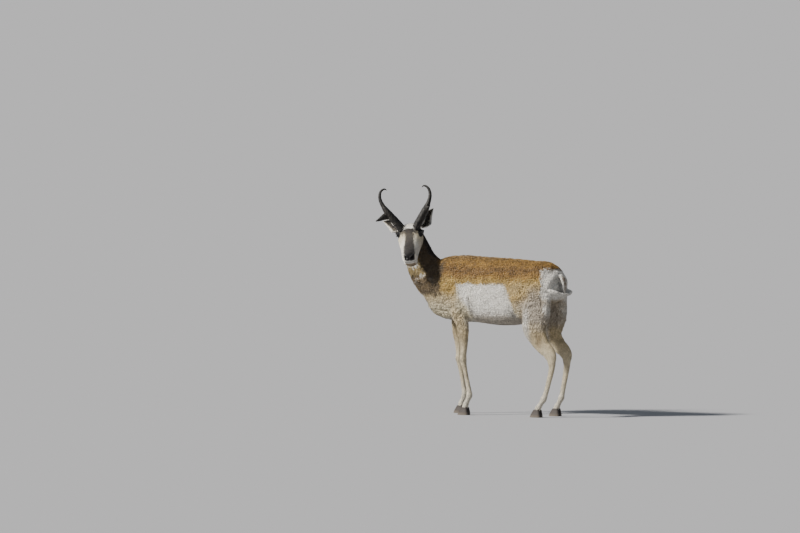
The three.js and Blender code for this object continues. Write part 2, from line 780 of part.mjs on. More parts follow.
function buildHead(body) {
  const head = solidOf(headGeometry());
  const grownHead = solidOf(headGeometry(GAP));
  // The neck ends where the head's own surface begins.
  const trunk = body.subtract(grownHead);
  const cut = new THREE.Vector3(38, -385, 770);
  const [neck, barrel] = partedAt(trunk, cut, new THREE.Vector3(0.12, -0.62, 0.77));
  const [rump, torso] = partedAt(barrel, new THREE.Vector3(0, 190, 700), new THREE.Vector3(0, 1, 0));
  const [upperNeck, lowerNeck] = partedAt(neck, new THREE.Vector3(70, -490, 900), new THREE.Vector3(0.15, -0.2, 0.97));
  pronghorn.add(meshOf('torso', torso, SKIN.back, 0.9));
  pronghorn.add(meshOf('rump', rump, SKIN.back, 0.9));
  pronghorn.add(meshOf('neck_upper', upperNeck, SKIN.neck, 0.9));
  pronghorn.add(meshOf('neck_lower', lowerNeck, SKIN.neck, 0.9));
  let skull = head.add(crownTuft());
  for (const [word, side] of [['left', 1], ['right', -1]]) {
    const seat = inHead(EYE_SEAT.x, side * EYE_SEAT.y, EYE_SEAT.z);
    const ball = (radius) => solidOf(new THREE.SphereGeometry(radius, 14, 10).translate(...seat.toArray()));
    skull = skull.add(ball(EYE_RADIUS + LID_THICKNESS)).subtract(ball(EYE_RADIUS + GAP));
    skull = skull.subtract(lidOpening(side)).subtract(nostrilSolid(side));
    pronghorn.add(meshOf(`eye_${word}`, ball(EYE_RADIUS), SKIN.eye, 0.15));
    const brow = grownHead.add(ball(EYE_RADIUS + LID_THICKNESS + GAP));
    const horn = hornSolid(side, side > 0 ? LEFT_PRONG : RIGHT_PRONG).subtract(brow);
    pronghorn.add(meshOf(`horn_${word}`, horn, SKIN.horn, 0.6));
    const ear = earSolid(side, side > 0 ? LEFT_EAR_WAY : RIGHT_EAR_WAY).subtract(brow);
    pronghorn.add(meshOf(`ear_${word}`, ear, SKIN.ear, 0.85));
  }
  pronghorn.add(meshOf('head', skull.subtract(mouthSolid()), SKIN.head, 0.85));
}

// Tail: joined to the rump, then parted from it a little way out from its root.
function withTail(body) {
  const root = new THREE.Vector3(0, 452, 792);
  const [tail, stump] = partedAt(tailSolid().add(tailFringe()), root, new THREE.Vector3(0, 0.9, -0.2));
  pronghorn.add(meshOf('tail', tail.subtract(torsoSolid(GAP)), SKIN.rump, 0.9));
  return body.add(stump);
}

buildHead(withTail(buildBody()));

export default pronghorn;
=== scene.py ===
"""A pronghorn buck, life size, dressed over its parted solids.

The tables are in millimetres in the animal's own frame: it faces -Y, its left side is +X and up is +Z.
Everything is moved by FOOTPRINT_MIDDLE and turned into metres when it becomes a mesh.
"""
import math

import bmesh
import bpy
import numpy as np
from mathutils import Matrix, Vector


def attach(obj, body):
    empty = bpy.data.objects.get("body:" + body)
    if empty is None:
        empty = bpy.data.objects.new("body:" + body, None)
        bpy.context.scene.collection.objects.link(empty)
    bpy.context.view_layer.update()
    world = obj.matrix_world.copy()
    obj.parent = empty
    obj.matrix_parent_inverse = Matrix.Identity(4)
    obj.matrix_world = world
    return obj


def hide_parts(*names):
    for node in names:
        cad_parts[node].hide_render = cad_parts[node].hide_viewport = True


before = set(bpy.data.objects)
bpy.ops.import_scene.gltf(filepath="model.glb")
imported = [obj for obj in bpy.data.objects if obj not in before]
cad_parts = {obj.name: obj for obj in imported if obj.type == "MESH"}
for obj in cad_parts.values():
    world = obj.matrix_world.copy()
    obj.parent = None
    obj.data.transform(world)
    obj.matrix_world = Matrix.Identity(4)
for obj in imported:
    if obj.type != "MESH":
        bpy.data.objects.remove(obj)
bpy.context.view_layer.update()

MM = 0.001
FOOTPRINT_MIDDLE = np.array([90.0, -87.0, 0.0])
SIDES = (("left", 1), ("right", -1))

# The photograph's camera: its size, scale in pixels to the metre, and where the animal's origin falls in it
PHOTO_SIZE = (800, 533)
PHOTO_SCALE = 177.0
ORIGIN_IN_PHOTO = (495.8, 415.0)
CAMERA_AZIMUTH, CAMERA_ELEVATION = 127.0, 2.0
CAMERA_DISTANCE = 60.0

# The light: where the sun stands, its strength and width, and the sky's strength; half the floor in metres
SUN_WAY, SUN_STRENGTH, SUN_WIDTH = (0.66, -0.50, 0.66), 8.6, math.radians(7)
SKY_STRENGTH, FLOOR_HALF = 0.32, 700.0

# The head: midpoint of the eyes, heading, pitch down and roll
EYE_MIDPOINT = np.array([180.0, -471.0, 1020.0])
HEAD_HEADING, HEAD_PITCH, HEAD_ROLL = math.radians(33), math.radians(42), math.radians(7)
EYE_RADIUS = 17.0
EYE_SEAT = np.array([0.0, 60.0, 4.0])
LID_THICKNESS = 2.6
# The slit between the lids: its half length over the ball's radius, and how far each lid opens
SLIT, UPPER_LID, LOWER_LID = 0.9, 0.72, 0.6
ORBIT_PLACE, ORBIT_RISE, ORBIT_SPREAD = (-4.0, 6.0), 7.0, 22.0
MOUTH_FRONT, MOUTH_CORNER, MOUTH_HEIGHT = 182.0, 112.0, -50.0
JAW_TAPER = 0.08
NOSTRIL = np.array([177.0, 19.0, -14.0])
# The horns sit a little to the right of the head's middle, and the left one stands steeper.
HORN_SEAT = np.array([-30.0, 50.0, 36.0])
HORN_ASIDE = -4.0
HORN_LEAN = {1: 0.055, -1: -0.01}
EAR_SEAT = np.array([-60.0, 54.0, -5.0])

# Torso rings from the breast to the rump: y, middle x, top z, bottom z, half width
TORSO_RINGS = [
    [-468, 62, 722, 652, 34],
    [-448, 58, 782, 612, 68],
    [-400, 52, 852, 566, 94],
    [-310, 40, 892, 532, 114],
    [-200, 26, 903, 520, 126],
    [-80, 12, 898, 513, 137],
    [60, 2, 892, 501, 145],
    [180, 0, 889, 511, 138],
    [280, 0, 886, 540, 128],
    [355, 0, 882, 580, 122],
    [405, 0, 838, 615, 113],
    [440, 0, 784, 648, 94],
    [456, 0, 756, 676, 66],
    [463, 0, 732, 700, 26],
]
TORSO_FULLNESS = 2.25
# The way from the neck's spine towards the nape
NAPE_WAY = (-0.2, 0.6, 0.8)

# Neck rings from inside the chest to the poll: x, y, z, half width, nape side, throat side
NECK_RINGS = [
    [24, -240, 690, 88, 150, 120],
    [36, -345, 735, 88, 130, 134],
    [48, -425, 800, 78, 102, 124],
    [62, -474, 872, 69, 80, 104],
    [78, -500, 940, 64, 71, 88],
    [98, -514, 1000, 58, 64, 74],
    [122, -508, 1040, 46, 56, 54],
]

# Head rings along the muzzle axis: x, top z, bottom z, half width
HEAD_RINGS = [
    [-98, -20, -64, 24],
    [-86, 0, -92, 44],
    [-60, 24, -114, 59],
    [-30, 41, -122, 67],
    [0, 42, -121, 69],
    [30, 36, -115, 67],
    [62, 28, -107, 62],
    [95, 22, -100, 55],
    [125, 18, -97, 49],
    [148, 15, -96, 46],
    [165, 8, -91, 42],
    [178, -5, -74, 34],
    [185, -22, -52, 18],
]

# Leg sections from the trunk down: half width, front, back
FORELEG_SIZES = [
    [40, 60, 60], [42, 60, 62], [36, 50, 58], [30, 38, 42], [26, 30, 32], [21, 24, 24], [19, 20, 20],
    [22, 23, 20], [18, 18, 18], [14, 14, 15], [13.5, 13, 15], [15, 14, 17], [18.5, 17, 20], [17, 15, 15],
    [19, 18, 17], [20, 20, 19],
]
HIND_LEG_SIZES = [
    [46, 88, 84], [52, 98, 92], [50, 96, 88], [43, 82, 78], [34, 60, 58], [27, 46, 48], [23, 40, 44],
    [21, 38, 38], [18, 27, 27], [15, 19, 22], [14, 16, 18], [15, 15, 18], [19, 18, 20], [17, 15, 15],
    [19, 18, 17], [20, 20, 19],
]
LEG_SPINES = {
    "foreleg_left": [
        [76, -232, 760], [92, -212, 640], [97, -180, 560], [98, -162, 505], [98, -156, 450],
        [97, -152, 400], [97, -156, 345], [97, -157, 314], [97, -153, 285], [96, -142, 240],
        [96, -127, 180], [96, -119, 142], [97, -115, 112], [98, -124, 86], [99, -136, 62],
        [100, -143, 40],
    ],
    "foreleg_right": [
        [-52, -300, 760], [-66, -305, 640], [-68, -315, 560], [-66, -317, 505], [-64, -315, 450],
        [-63, -309, 400], [-62, -304, 345], [-62, -304, 314], [-62, -300, 285], [-63, -292, 240],
        [-64, -280, 180], [-65, -273, 142], [-66, -269, 112], [-67, -278, 86], [-68, -290, 62],
        [-69, -297, 40],
    ],
    "hindleg_left": [
        [60, 330, 770], [75, 345, 680], [86, 350, 590], [91, 340, 510], [92, 362, 450], [92, 398, 400],
        [91, 430, 372], [91, 452, 345], [90, 457, 312], [90, 455, 272], [90, 434, 195], [90, 412, 130],
        [90, 400, 104], [91, 385, 80], [92, 369, 58], [93, 359, 40],
    ],
    "hindleg_right": [
        [-60, 330, 770], [-75, 345, 680], [-86, 342, 590], [-91, 325, 510], [-92, 334, 450],
        [-92, 372, 400], [-91, 408, 372], [-91, 428, 345], [-90, 431, 312], [-90, 428, 272],
        [-90, 413, 195], [-90, 398, 130], [-90, 391, 104], [-91, 378, 80], [-92, 364, 58],
        [-93, 355, 40],
    ],
}

# Tail sections from inside the rump to the tip: x, y, z, half width, upper side, under side
TAIL_RINGS = [
    [0, 420, 800, 22, 18, 18],
    [0, 455, 790, 21, 15, 14],
    [0, 474, 764, 22, 12, 12],
    [0, 480, 730, 21, 10, 10],
    [0, 480, 700, 14, 8, 8],
    [0, 478, 682, 4, 4, 4],
]

# Horn spine in the horns' frame (forward, outward, up) with half width across and along
HORN_BEAM = [
    [0, -12, -24, 23, 29],
    [0, 0, 0, 23, 30],
    [4, 32, 44, 22, 29],
    [6, 63, 88, 19, 27],
    [3, 82, 121, 13, 18],
    [-2, 95, 154, 10.5, 13],
    [-8, 97, 182, 9, 11],
    [-14, 89, 205, 7.5, 9],
    [-19, 74, 216, 6, 7],
    [-23, 64, 216, 4.6, 5.2],
    [-26, 55, 209, 2, 2.4],
]
PRONGS = {
    1: [[-2, 48, 70, 16, 24], [20, 62, 84, 14, 21], [40, 74, 92, 9, 13], [58, 84, 96, 3, 4]],
    -1: [[-2, 50, 68, 16, 24], [18, 80, 62, 14, 19], [34, 106, 50, 9, 11], [46, 130, 42, 3, 3.5]],
}

EAR_LENGTH, EAR_HALF_WIDTH, EAR_WALL, EAR_ROWS = 138.0, 30.0, 3.2, 44
# How far in through the wall the ear's two faces lie, as shares of it
EAR_OUTSIDE, EAR_INSIDE = 0.25, 0.9
EAR_WAYS = {1: (-0.46, 0.57, 0.67), -1: (-0.56, 0.76, 0.32)}
CORONET_HEIGHT = 44.0

# How deep the hair lies over the skin on each part
COAT_DEPTH = {"torso": 9.0, "neck": 8.0, "head": 2.5, "leg": 2.5, "thigh": 7.0, "tail": 4.0}
SKIN_VOXEL, HORN_VOXEL = 5.0, 1.5
SAMPLES_ON_SKIN = 420000
# Width of a tuft's patch on the unwrap
UV_PATCH = 0.003
# Below this height the legs are bare shank, which is eased evenly
SHANK_TOP = 430
# Hair on each part: spacing, length, width, thickness and lift
HAIR = {
    "body": (6.0, 19.0, 4.6, 1.1, 3.6),
    "neck": (5.6, 19.0, 4.4, 1.0, 3.0),
    "head": (3.4, 7.0, 2.2, 0.5, 0.8),
    "shank": (3.8, 8.5, 2.5, 0.6, 0.8),
    "tail": (6.0, 26.0, 4.4, 1.1, 2.4),
}
# Hair on each face of the ear: how far in it roots, which way it looks, how many tufts, and their length
EAR_HAIR = {"outer": (EAR_OUTSIDE, 1, 2600, 6.0), "inner": (EAR_INSIDE, -1, 1500, 10)}
MANE_TUFTS, CROWN_TUFTS, LASH_COUNT = 2600, 900, 110

# Where the markings lie on the trunk: heights, or curves as places and values
BAND_HEIGHT, PATCH_TOP, SPINE_HEIGHT = 818, 744, 875
PALE_EDGE = ([-330, -200, -170, 130, 190, 360], [712, 700, 742, 744, 672, 655])
PATCH_FRONT = ([510, 604, 660, 745], [-70, -108, -155, -180])
PATCH_REAR = ([520, 610, 700, 746], [245, 190, 176, 140])
# Painted shade lies in the elbow's crease and in the flank's notch before the thigh
ELBOW_CREASE_SHADE_Y, FLANK_NOTCH_SHADE = -92, (186, 582)
# Where they lie on the head, in its own frame
BLAZE_MIDDLE = 3.0
BLAZE_HALF = ([-10, 30, 60, 110, 150, 184], [32, 25, 25, 30, 33, 30])
NOSE_HALF = ([-34, -28, -16, 0], [8, 18, 29, 32])
# The chin's height is the top of the painted shade under the chin
NOSE_BACK, NOSE_LOW, CHIN_SHADE_HEIGHT = 165.0, -31.0, -58.0
# The jaw patch is the black cheek patch, spread with painted shade onto the neck behind the jaw
BROW_SPOT, JAW_PATCH_AND_SHADE = (-20, 40, 42), (-46, 58, -74)

# Coat colours, as the eye sees them
OCHRE = (0.66, 0.51, 0.24)
RUST = (0.45, 0.33, 0.17)
BACK_TAN = (0.60, 0.49, 0.32)
GOLD = (0.72, 0.60, 0.33)
CREAM = (0.84, 0.80, 0.69)
TAN_CREAM = (0.78, 0.71, 0.56)
WHITE = (0.95, 0.94, 0.91)
GREY_CREAM = (0.72, 0.68, 0.62)
# Dark tan of the neck: partly its own brown hair, partly painted shade
SHADED_NECK_TAN = (0.33, 0.275, 0.195)
EAR_TAN = (0.60, 0.50, 0.36)
THROAT_TAN = (0.64, 0.56, 0.37)
THROAT_BROWN = (0.52, 0.43, 0.28)
NAPE_BROWN = (0.16, 0.125, 0.095)
BLAZE = (0.15, 0.13, 0.12)
BLACK = (0.045, 0.042, 0.042)
EAR_HOLLOW = (0.12, 0.095, 0.085)


# Shapes as arrays


def smooth(low, high, value):
    """Zero below low, one above high, and 3t^2 - 2t^3 between."""
    t = np.clip((value - low) / (high - low), 0.0, 1.0)
    return t * t * (3.0 - 2.0 * t)


def fall(low, high, value):
    """One below low and zero above high."""
    return 1.0 - smooth(low, high, value)


def within(rise, drop, value):
    """One between two ramps, each given as (low, high)."""
    return smooth(*rise, value) * fall(*drop, value)


def bell(distance, spread):
    """exp(-(distance / spread)^2)."""
    return np.exp(-((distance / spread) ** 2))


def apart(points, place, stretch=(1, 1, 1)):
    """Distance of each point from a place, with each axis stretched."""
    return np.linalg.norm((points - np.asarray(place)) * stretch, axis=1)


def unit(vectors):
    """Each vector over its own length."""
    return vectors / np.maximum(np.linalg.norm(vectors, axis=-1, keepdims=True), 1e-9)


def refined(rings, steps):
    """A Catmull-Rom curve through each column of the table, with `steps` rows to each gap."""
    rings = np.asarray(rings, float)
    padded = np.vstack([rings[:1], rings, rings[-1:]])
    t = (np.arange(steps) / steps)[None, :, None]
    p0, p1, p2, p3 = (padded[k: len(rings) - 1 + k][:, None, :] for k in range(4))
    cubic = 2 * p1 + (p2 - p0) * t + (2 * p0 - 5 * p1 + 4 * p2 - p3) * t**2
    rows = 0.5 * (cubic + (3 * p1 - p0 - 3 * p2 + p3) * t**3)
    return np.vstack([rows.reshape(-1, rings.shape[1]), rings[-1:]])


def rounded(value, fullness):
    """A sine or cosine raised to 2 / fullness with its sign kept: a superellipse's coordinate."""
    return np.sign(value) * np.abs(value) ** (2.0 / fullness)


def frames(rows, front):
    """Middle, way, face towards `front` and across for each row of a spine, by central differences."""
    centre = rows[:, :3]
    steps = [centre[1:2] - centre[:1], centre[2:] - centre[:-2], centre[-1:] - centre[-2:-1]]
    way = unit(np.vstack(steps))
    front = np.asarray(front, float)
    face = unit(front - way * (way @ front)[:, None])
    return centre, way, face, np.cross(way, face)


def about(points, centre, face, across):
    """Each point's nearest row of a spine, its offset from that row, and its turn from the row's face."""
    nearest = np.argmin(((points[:, None] - centre[None]) ** 2).sum(-1), 1)
    off = points - centre[nearest]
    return nearest, off, np.arctan2((off * across[nearest]).sum(1), (off * face[nearest]).sum(1))


def tube_points(rows, front, sides, fullness=2.0):
    """Rings square to a spine: middle + face * reach * cos(angle) + across * half width * sin(angle)."""
    centre, _, face, across = frames(rows, front)
    angle = 2 * np.pi * np.arange(sides) / sides
    c = rounded(np.cos(angle), fullness)[None, :]
    s = rounded(np.sin(angle), fullness)[None, :]
    reach = np.where(c > 0, rows[:, 4:5], rows[:, 5:6])
    grid = centre[:, None] + face[:, None] * (reach * c)[..., None]
    return grid + across[:, None] * (rows[:, 3:4] * s)[..., None]


def closed_grid(grid):
    """Vertices and faces of a tube of rings: quads along it and a fan on the middle of each end."""
    rings, sides = grid.shape[:2]
    verts = np.vstack([grid.reshape(-1, 3), grid[0].mean(0)[None], grid[-1].mean(0)[None]])
    i, j = np.meshgrid(np.arange(rings - 1), np.arange(sides), indexing="ij")
    a, b = i * sides + j, i * sides + (j + 1) % sides
    quads = np.stack([a, b, b + sides, a + sides], -1).reshape(-1, 4)
    j = np.arange(sides)
    k = (j + 1) % sides
    low, high = rings * sides, rings * sides + 1
    first = np.stack([k, j, np.full(sides, low)], -1)
    last = np.stack([(rings - 1) * sides + j, (rings - 1) * sides + k, np.full(sides, high)], -1)
    faces = [*quads.tolist(), *first.tolist(), *last.tolist()]
    if volume(verts, faces) < 0:
        faces = [face[::-1] for face in faces]
    return verts, faces


def volume(verts, faces):
    """Six times the enclosed volume, by summing the tetrahedra from the origin to a fan of each face."""
    total = 0.0
    for size in (3, 4):
        group = np.array([f for f in faces if len(f) == size])
        if len(group):
            p = verts[group]
            for k in range(1, size - 1):
                total += np.einsum("ij,ij->i", p[:, 0], np.cross(p[:, k], p[:, k + 1])).sum()
    return total


def joined(parts):
    """Several (vertices, faces) pairs as one."""
    verts, faces, start = [], [], 0
    for points, sides in parts:
        verts.append(points)
        faces += [[index + start for index in face] for face in sides]
        start += len(points)
    return np.vstack(verts), faces


def head_basis():
    """Columns: along the muzzle, to the animal's left, and up from the face."""
    level = np.array([math.cos(HEAD_HEADING), math.sin(HEAD_HEADING), 0.0])
    up = np.array([0.0, 0.0, 1.0])
    muzzle = level * math.cos(HEAD_PITCH) - up * math.sin(HEAD_PITCH)
    flat_left = np.cross(up, level)
    brow = np.cross(muzzle, flat_left)
    left = flat_left * math.cos(HEAD_ROLL) + brow * math.sin(HEAD_ROLL)
    return np.stack([muzzle, left, np.cross(muzzle, left)], 1)


def horn_basis():
    """Columns: level ahead of the face, to the animal's left, and up with the head's roll."""
    level = np.array([math.cos(HEAD_HEADING), math.sin(HEAD_HEADING), 0.0])
    up = unit(np.cross(level, HEAD[:, 1]))
    return np.stack([level, np.cross(up, level), up], 1)


HEAD = head_basis()
HORN = horn_basis()


def in_head(local):
    """A point of the head's frame in the animal's frame."""
    return np.asarray(local, float) @ HEAD.T + EYE_MIDPOINT


def to_head(points):
    """The animal's frame back to the head's."""
    return (points - EYE_MIDPOINT) @ HEAD


def on_side(place, side):
    """A place or way of the head's frame on one side: 1 for the left, -1 for the right."""
    return np.asarray(place) * [1, side, 1]


def torso_rows(steps, inset):
    """Torso rings as spine rows, drawn in by the depth of the coat."""
    ring = refined(TORSO_RINGS, steps)
    middle = (ring[:, 2] + ring[:, 3]) / 2
    half = np.maximum((ring[:, 2] - ring[:, 3]) / 2 - inset, 2.0)
    wide = np.maximum(ring[:, 4] - inset, 2.0)
    y = ring[:, 0] - inset * np.sign(ring[:, 0]) * (np.abs(ring[:, 0]) > 430)
    return np.stack([ring[:, 1], y, middle, wide, half, half], 1)


def inset_rows(table, steps, inset):
    """A table of x, y, z, half width, front and back, refined and drawn in."""
    rows = refined(table, steps)
    rows[:, 3:] = np.maximum(rows[:, 3:] - inset, 1.5)
    return rows


def leg_rows(name, steps):
    """Spine and sizes of one leg, drawn in more over the thigh or shoulder than over the shank."""
    sizes = HIND_LEG_SIZES if name.startswith("hind") else FORELEG_SIZES
    rows = refined(np.hstack([LEG_SPINES[name], sizes]), steps)
    inset = COAT_DEPTH["leg"] + (COAT_DEPTH["thigh"] - COAT_DEPTH["leg"]) * smooth(430, 560, rows[:, 2])
    rows[:, 3:] -= inset[:, None]
    return rows


def head_grid(inset, sides=96, steps=8):
    """Rings across the muzzle axis: superellipses that narrow under the jaw and swell round each eye."""
    ring = refined(HEAD_RINGS, steps)
    x, top, bottom, wide = ring.T
    middle = bottom + 0.56 * (top - bottom)
    angle = 2 * np.pi * np.arange(sides) / sides
    up = rounded(np.cos(angle), 2.2)[None, :]
    out = rounded(np.sin(angle), 2.2)[None, :]
    height = np.where(up > 0, (top - middle)[:, None], (middle - bottom)[:, None]) - inset
    shrink = 1 + JAW_TAPER * np.minimum(up, 0) * smooth(-60, 40, x)[:, None]
    z = middle[:, None] + height * up
    near = (x[:, None] - ORBIT_PLACE[0]) ** 2 + (z - ORBIT_PLACE[1]) ** 2
    orbit = ORBIT_RISE * np.exp(-near / (2 * ORBIT_SPREAD**2))
    y = (wide[:, None] * shrink - inset + orbit) * out
    return in_head(np.stack([np.broadcast_to(x[:, None], y.shape), y, z], -1))


# Meshes


def placed(name, data):
    """A new object for a mesh, lamp or camera, in the scene."""
    obj = bpy.data.objects.new(name, data)
    bpy.context.scene.collection.objects.link(obj)
    return obj


def mesh_object(name, verts, faces):
    """A smooth mesh object from millimetre points in the animal's frame."""
    mesh = bpy.data.meshes.new(name)
    mesh.from_pydata(((verts - FOOTPRINT_MIDDLE) * MM).tolist(), [], faces)
    mesh.update()
    shade_smooth(mesh)
    return placed(name, mesh)


def points_of(mesh):
    """The mesh's vertices in millimetres in the animal's frame."""
    flat = np.empty(len(mesh.vertices) * 3)
    mesh.vertices.foreach_get("co", flat)
    return flat.reshape(-1, 3) / MM + FOOTPRINT_MIDDLE


def shade_smooth(mesh):
    """Smooth shading on every face."""
    mesh.polygons.foreach_set("use_smooth", np.ones(len(mesh.polygons), bool))


def put_points(mesh, points):
    """Writes millimetre points back."""
    mesh.vertices.foreach_set("co", ((points - FOOTPRINT_MIDDLE) * MM).ravel())
    mesh.update()


def normals_of(mesh):
    """Vertex normals."""
    flat = np.empty(len(mesh.vertices) * 3)
    mesh.vertex_normals.foreach_get("vector", flat)
    return flat.reshape(-1, 3)


def relaxed(mesh, weight, rounds):
    """Moves each vertex towards the mean of its neighbours by its weight, then a little back out."""
    edges = np.empty(len(mesh.edges) * 2, int)
    mesh.edges.foreach_get("vertices", edges)
    a, b = edges.reshape(-1, 2).T
    count = np.bincount(np.concatenate([a, b]), minlength=len(mesh.vertices))[:, None]
    points = points_of(mesh)
    for _ in range(rounds):
        for step in (0.6, -0.62):
            total = np.zeros_like(points)
            for axis in range(3):
                total[:, axis] = np.bincount(a, points[b, axis], len(points))
                total[:, axis] += np.bincount(b, points[a, axis], len(points))
            points = points + step * weight[:, None] * (total / np.maximum(count, 1) - points)
    put_points(mesh, points)


def set_colours(mesh, colours, name="coat_colour"):
    """A colour for each vertex, in linear light."""
    layer = mesh.color_attributes.new(name, "FLOAT_COLOR", "POINT")
    rgba = np.hstack([colours, np.ones((len(colours), 1))]).astype(np.float32)
    layer.data.foreach_set("color", rgba.ravel())


def linear(colour):
    """A colour as the eye sees it, in linear light."""
    colour = np.asarray(colour, float)
    return np.where(colour <= 0.04045, colour / 12.92, ((colour + 0.055) / 1.055) ** 2.4)


# Markings, shared by skin and hair


def wobble(points, size, seed=0):
    """A soft uneven field between about -1 and 1: a sum of sine waves that run in scattered directions."""
    draw = np.random.default_rng(100 + seed)
    total = np.zeros(len(points))
    for _ in range(7):
        way = unit(draw.normal(size=3)) * 2 * np.pi / (size * draw.uniform(0.6, 1.6))
        total += np.sin(points @ way + draw.uniform(0, 2 * np.pi))
    return total / 3.2


def blended(colours, colour, mask):
    """Colours moved towards one colour by a mask."""
    return colours + (linear(colour) - colours) * np.clip(mask, 0, 1)[:, None]


def painted(ground, layers):
    """A ground colour under (colour, mask) layers, each laid over the last."""
    colours = np.tile(linear(ground), (len(layers[0][1]), 1))
    for colour, mask in layers:
        colours = blended(colours, colour, mask)
    return colours


def torso_colours(p):
    """Ochre above, rusty band, square white flank, cream shoulder, white rump; painted shade at belly,
    creases, neck.
    """
    x, y, z = p.T
    ragged = 6 * wobble(p, 60, 1) + 3 * wobble(p, 21, 2)
    zz, yy = z + ragged, y + ragged
    clumps = smooth(0.05, 0.8, wobble(p, 42, 4)) * smooth(0.0, 0.7, wobble(p, 19, 14) + 0.5)
    pale = np.interp(y, *PALE_EDGE)
    front, rear = np.interp(z, *PATCH_FRONT), np.interp(z, *PATCH_REAR)
    patch = smooth(front - 26, front + 22, yy) * fall(rear - 12, rear + 10, yy)
    crease = bell(y - ELBOW_CREASE_SHADE_Y - 0.08 * (z - 600), 7) * within((540, 560), (640, 672), z)
    notch_shade = bell(y - FLANK_NOTCH_SHADE[0], 17) * bell(z - FLANK_NOTCH_SHADE[1], 22)
    rump = smooth(376, 390, yy + 0.25 * np.maximum(z - 800, 0)) * fall(826, 846, zz)
    # The side of the neck before the shoulder: darker brown hair under a painted shadow of the head
    neck_brown_and_shadow = smooth(266, 304, -yy) * within((658, 692), (850, 876), zz) * smooth(18, 46, np.abs(x - 50))
    return painted(OCHRE, [
        (GOLD, fall(765, 795, zz)),
        (RUST, 0.8 * bell(zz - BAND_HEIGHT - 14 * wobble(p, 150, 3), 26)),
        (RUST, 0.6 * clumps * smooth(740, 790, z)),
        (BACK_TAN, 0.8 * smooth(SPINE_HEIGHT - 13, SPINE_HEIGHT + 13, zz)),
        (TAN_CREAM, fall(pale - 42, pale + 12, zz)),
        (CREAM, fall(pale - 110, pale - 30, zz)),
        (WHITE, patch * fall(PATCH_TOP - 8, PATCH_TOP + 8, zz)),
        (WHITE, 0.8 * fall(530, 560, z)),
        # Painted shade: the white belly turned grey along its lower edge
        (GREY_CREAM, 0.8 * fall(548, 588, zz) * smooth(-110, -80, y)),
        # Painted shade: dark brown in the crease behind the elbow and the notch before the thigh
        (NAPE_BROWN, 0.7 * np.maximum(crease, notch_shade) * smooth(60, 90, np.abs(x))),
        (TAN_CREAM, 0.45 * smooth(120, 200, y) * fall(735, 775, zz) * smooth(640, 700, z)),
        (GREY_CREAM, 0.85 * smooth(205, 260, y) * fall(640, 690, zz)),
        (WHITE, rump * smooth(660, 700, zz + 0.5 * (y - 380))),
        (WHITE, smooth(430, 450, y) * within((560, 600), (800, 830), z)),
        # Painted shadow of the head, over the neck's darker brown
        (SHADED_NECK_TAN, 0.94 * neck_brown_and_shadow),
        (WHITE, 0.6 * smooth(395, 440, -y) * fall(640, 700, zz)),
    ])


def neck_colours(p):
    """Dark tan (partly painted shade), darker nape, and tan, white and brown throat bands, by turn from the
    nape.
    """
    centre, _, face, across = frames(refined(NECK_RINGS, 6), NAPE_WAY)
    turn = np.abs(about(p, centre, face, across)[2]) + 0.1 * wobble(p, 34, 5)
    z = p[:, 2] + 7 * wobble(p, 38, 6)
    high = smooth(850, 930, p[:, 2])
    low = fall(762, 776, z)
    crescent = np.abs(z - 750 - 60 * (2.6 - turn)) / 8
    return painted(SHADED_NECK_TAN, [
        (NAPE_BROWN, fall(0.28, 0.62, turn) * high),
        (RUST, 0.3 * fall(0.4, 1.0, turn) * (1 - high)),
        (WHITE, 0.9 * within((1.40, 1.50), (1.64, 1.76), turn) * smooth(664, 690, z) * low),
        (THROAT_BROWN, smooth(1.64, 1.76, turn) * low),
        (THROAT_TAN, 0.9 * smooth(1.45, 1.75, turn) * within((776, 792), (880, 910), z)),
        (WHITE, 0.9 * fall(0.6, 1.2, crescent) * smooth(1.6, 1.9, turn)),
        (WHITE, smooth(1.7, 1.95, turn) * within((834, 842), (862, 872), z)),
        (CREAM, fall(650, 712, z) * smooth(0.9, 1.5, turn)),
    ])


def mouth_line(x):
    """Height of the closed lips along the muzzle: level in front, falling and curling to the corner."""
    back = np.clip((MOUTH_FRONT - x) / (MOUTH_FRONT - MOUTH_CORNER), 0, 1.3) ** 0.5
    return MOUTH_HEIGHT + 5 * (1 - back) - 9 * back**3


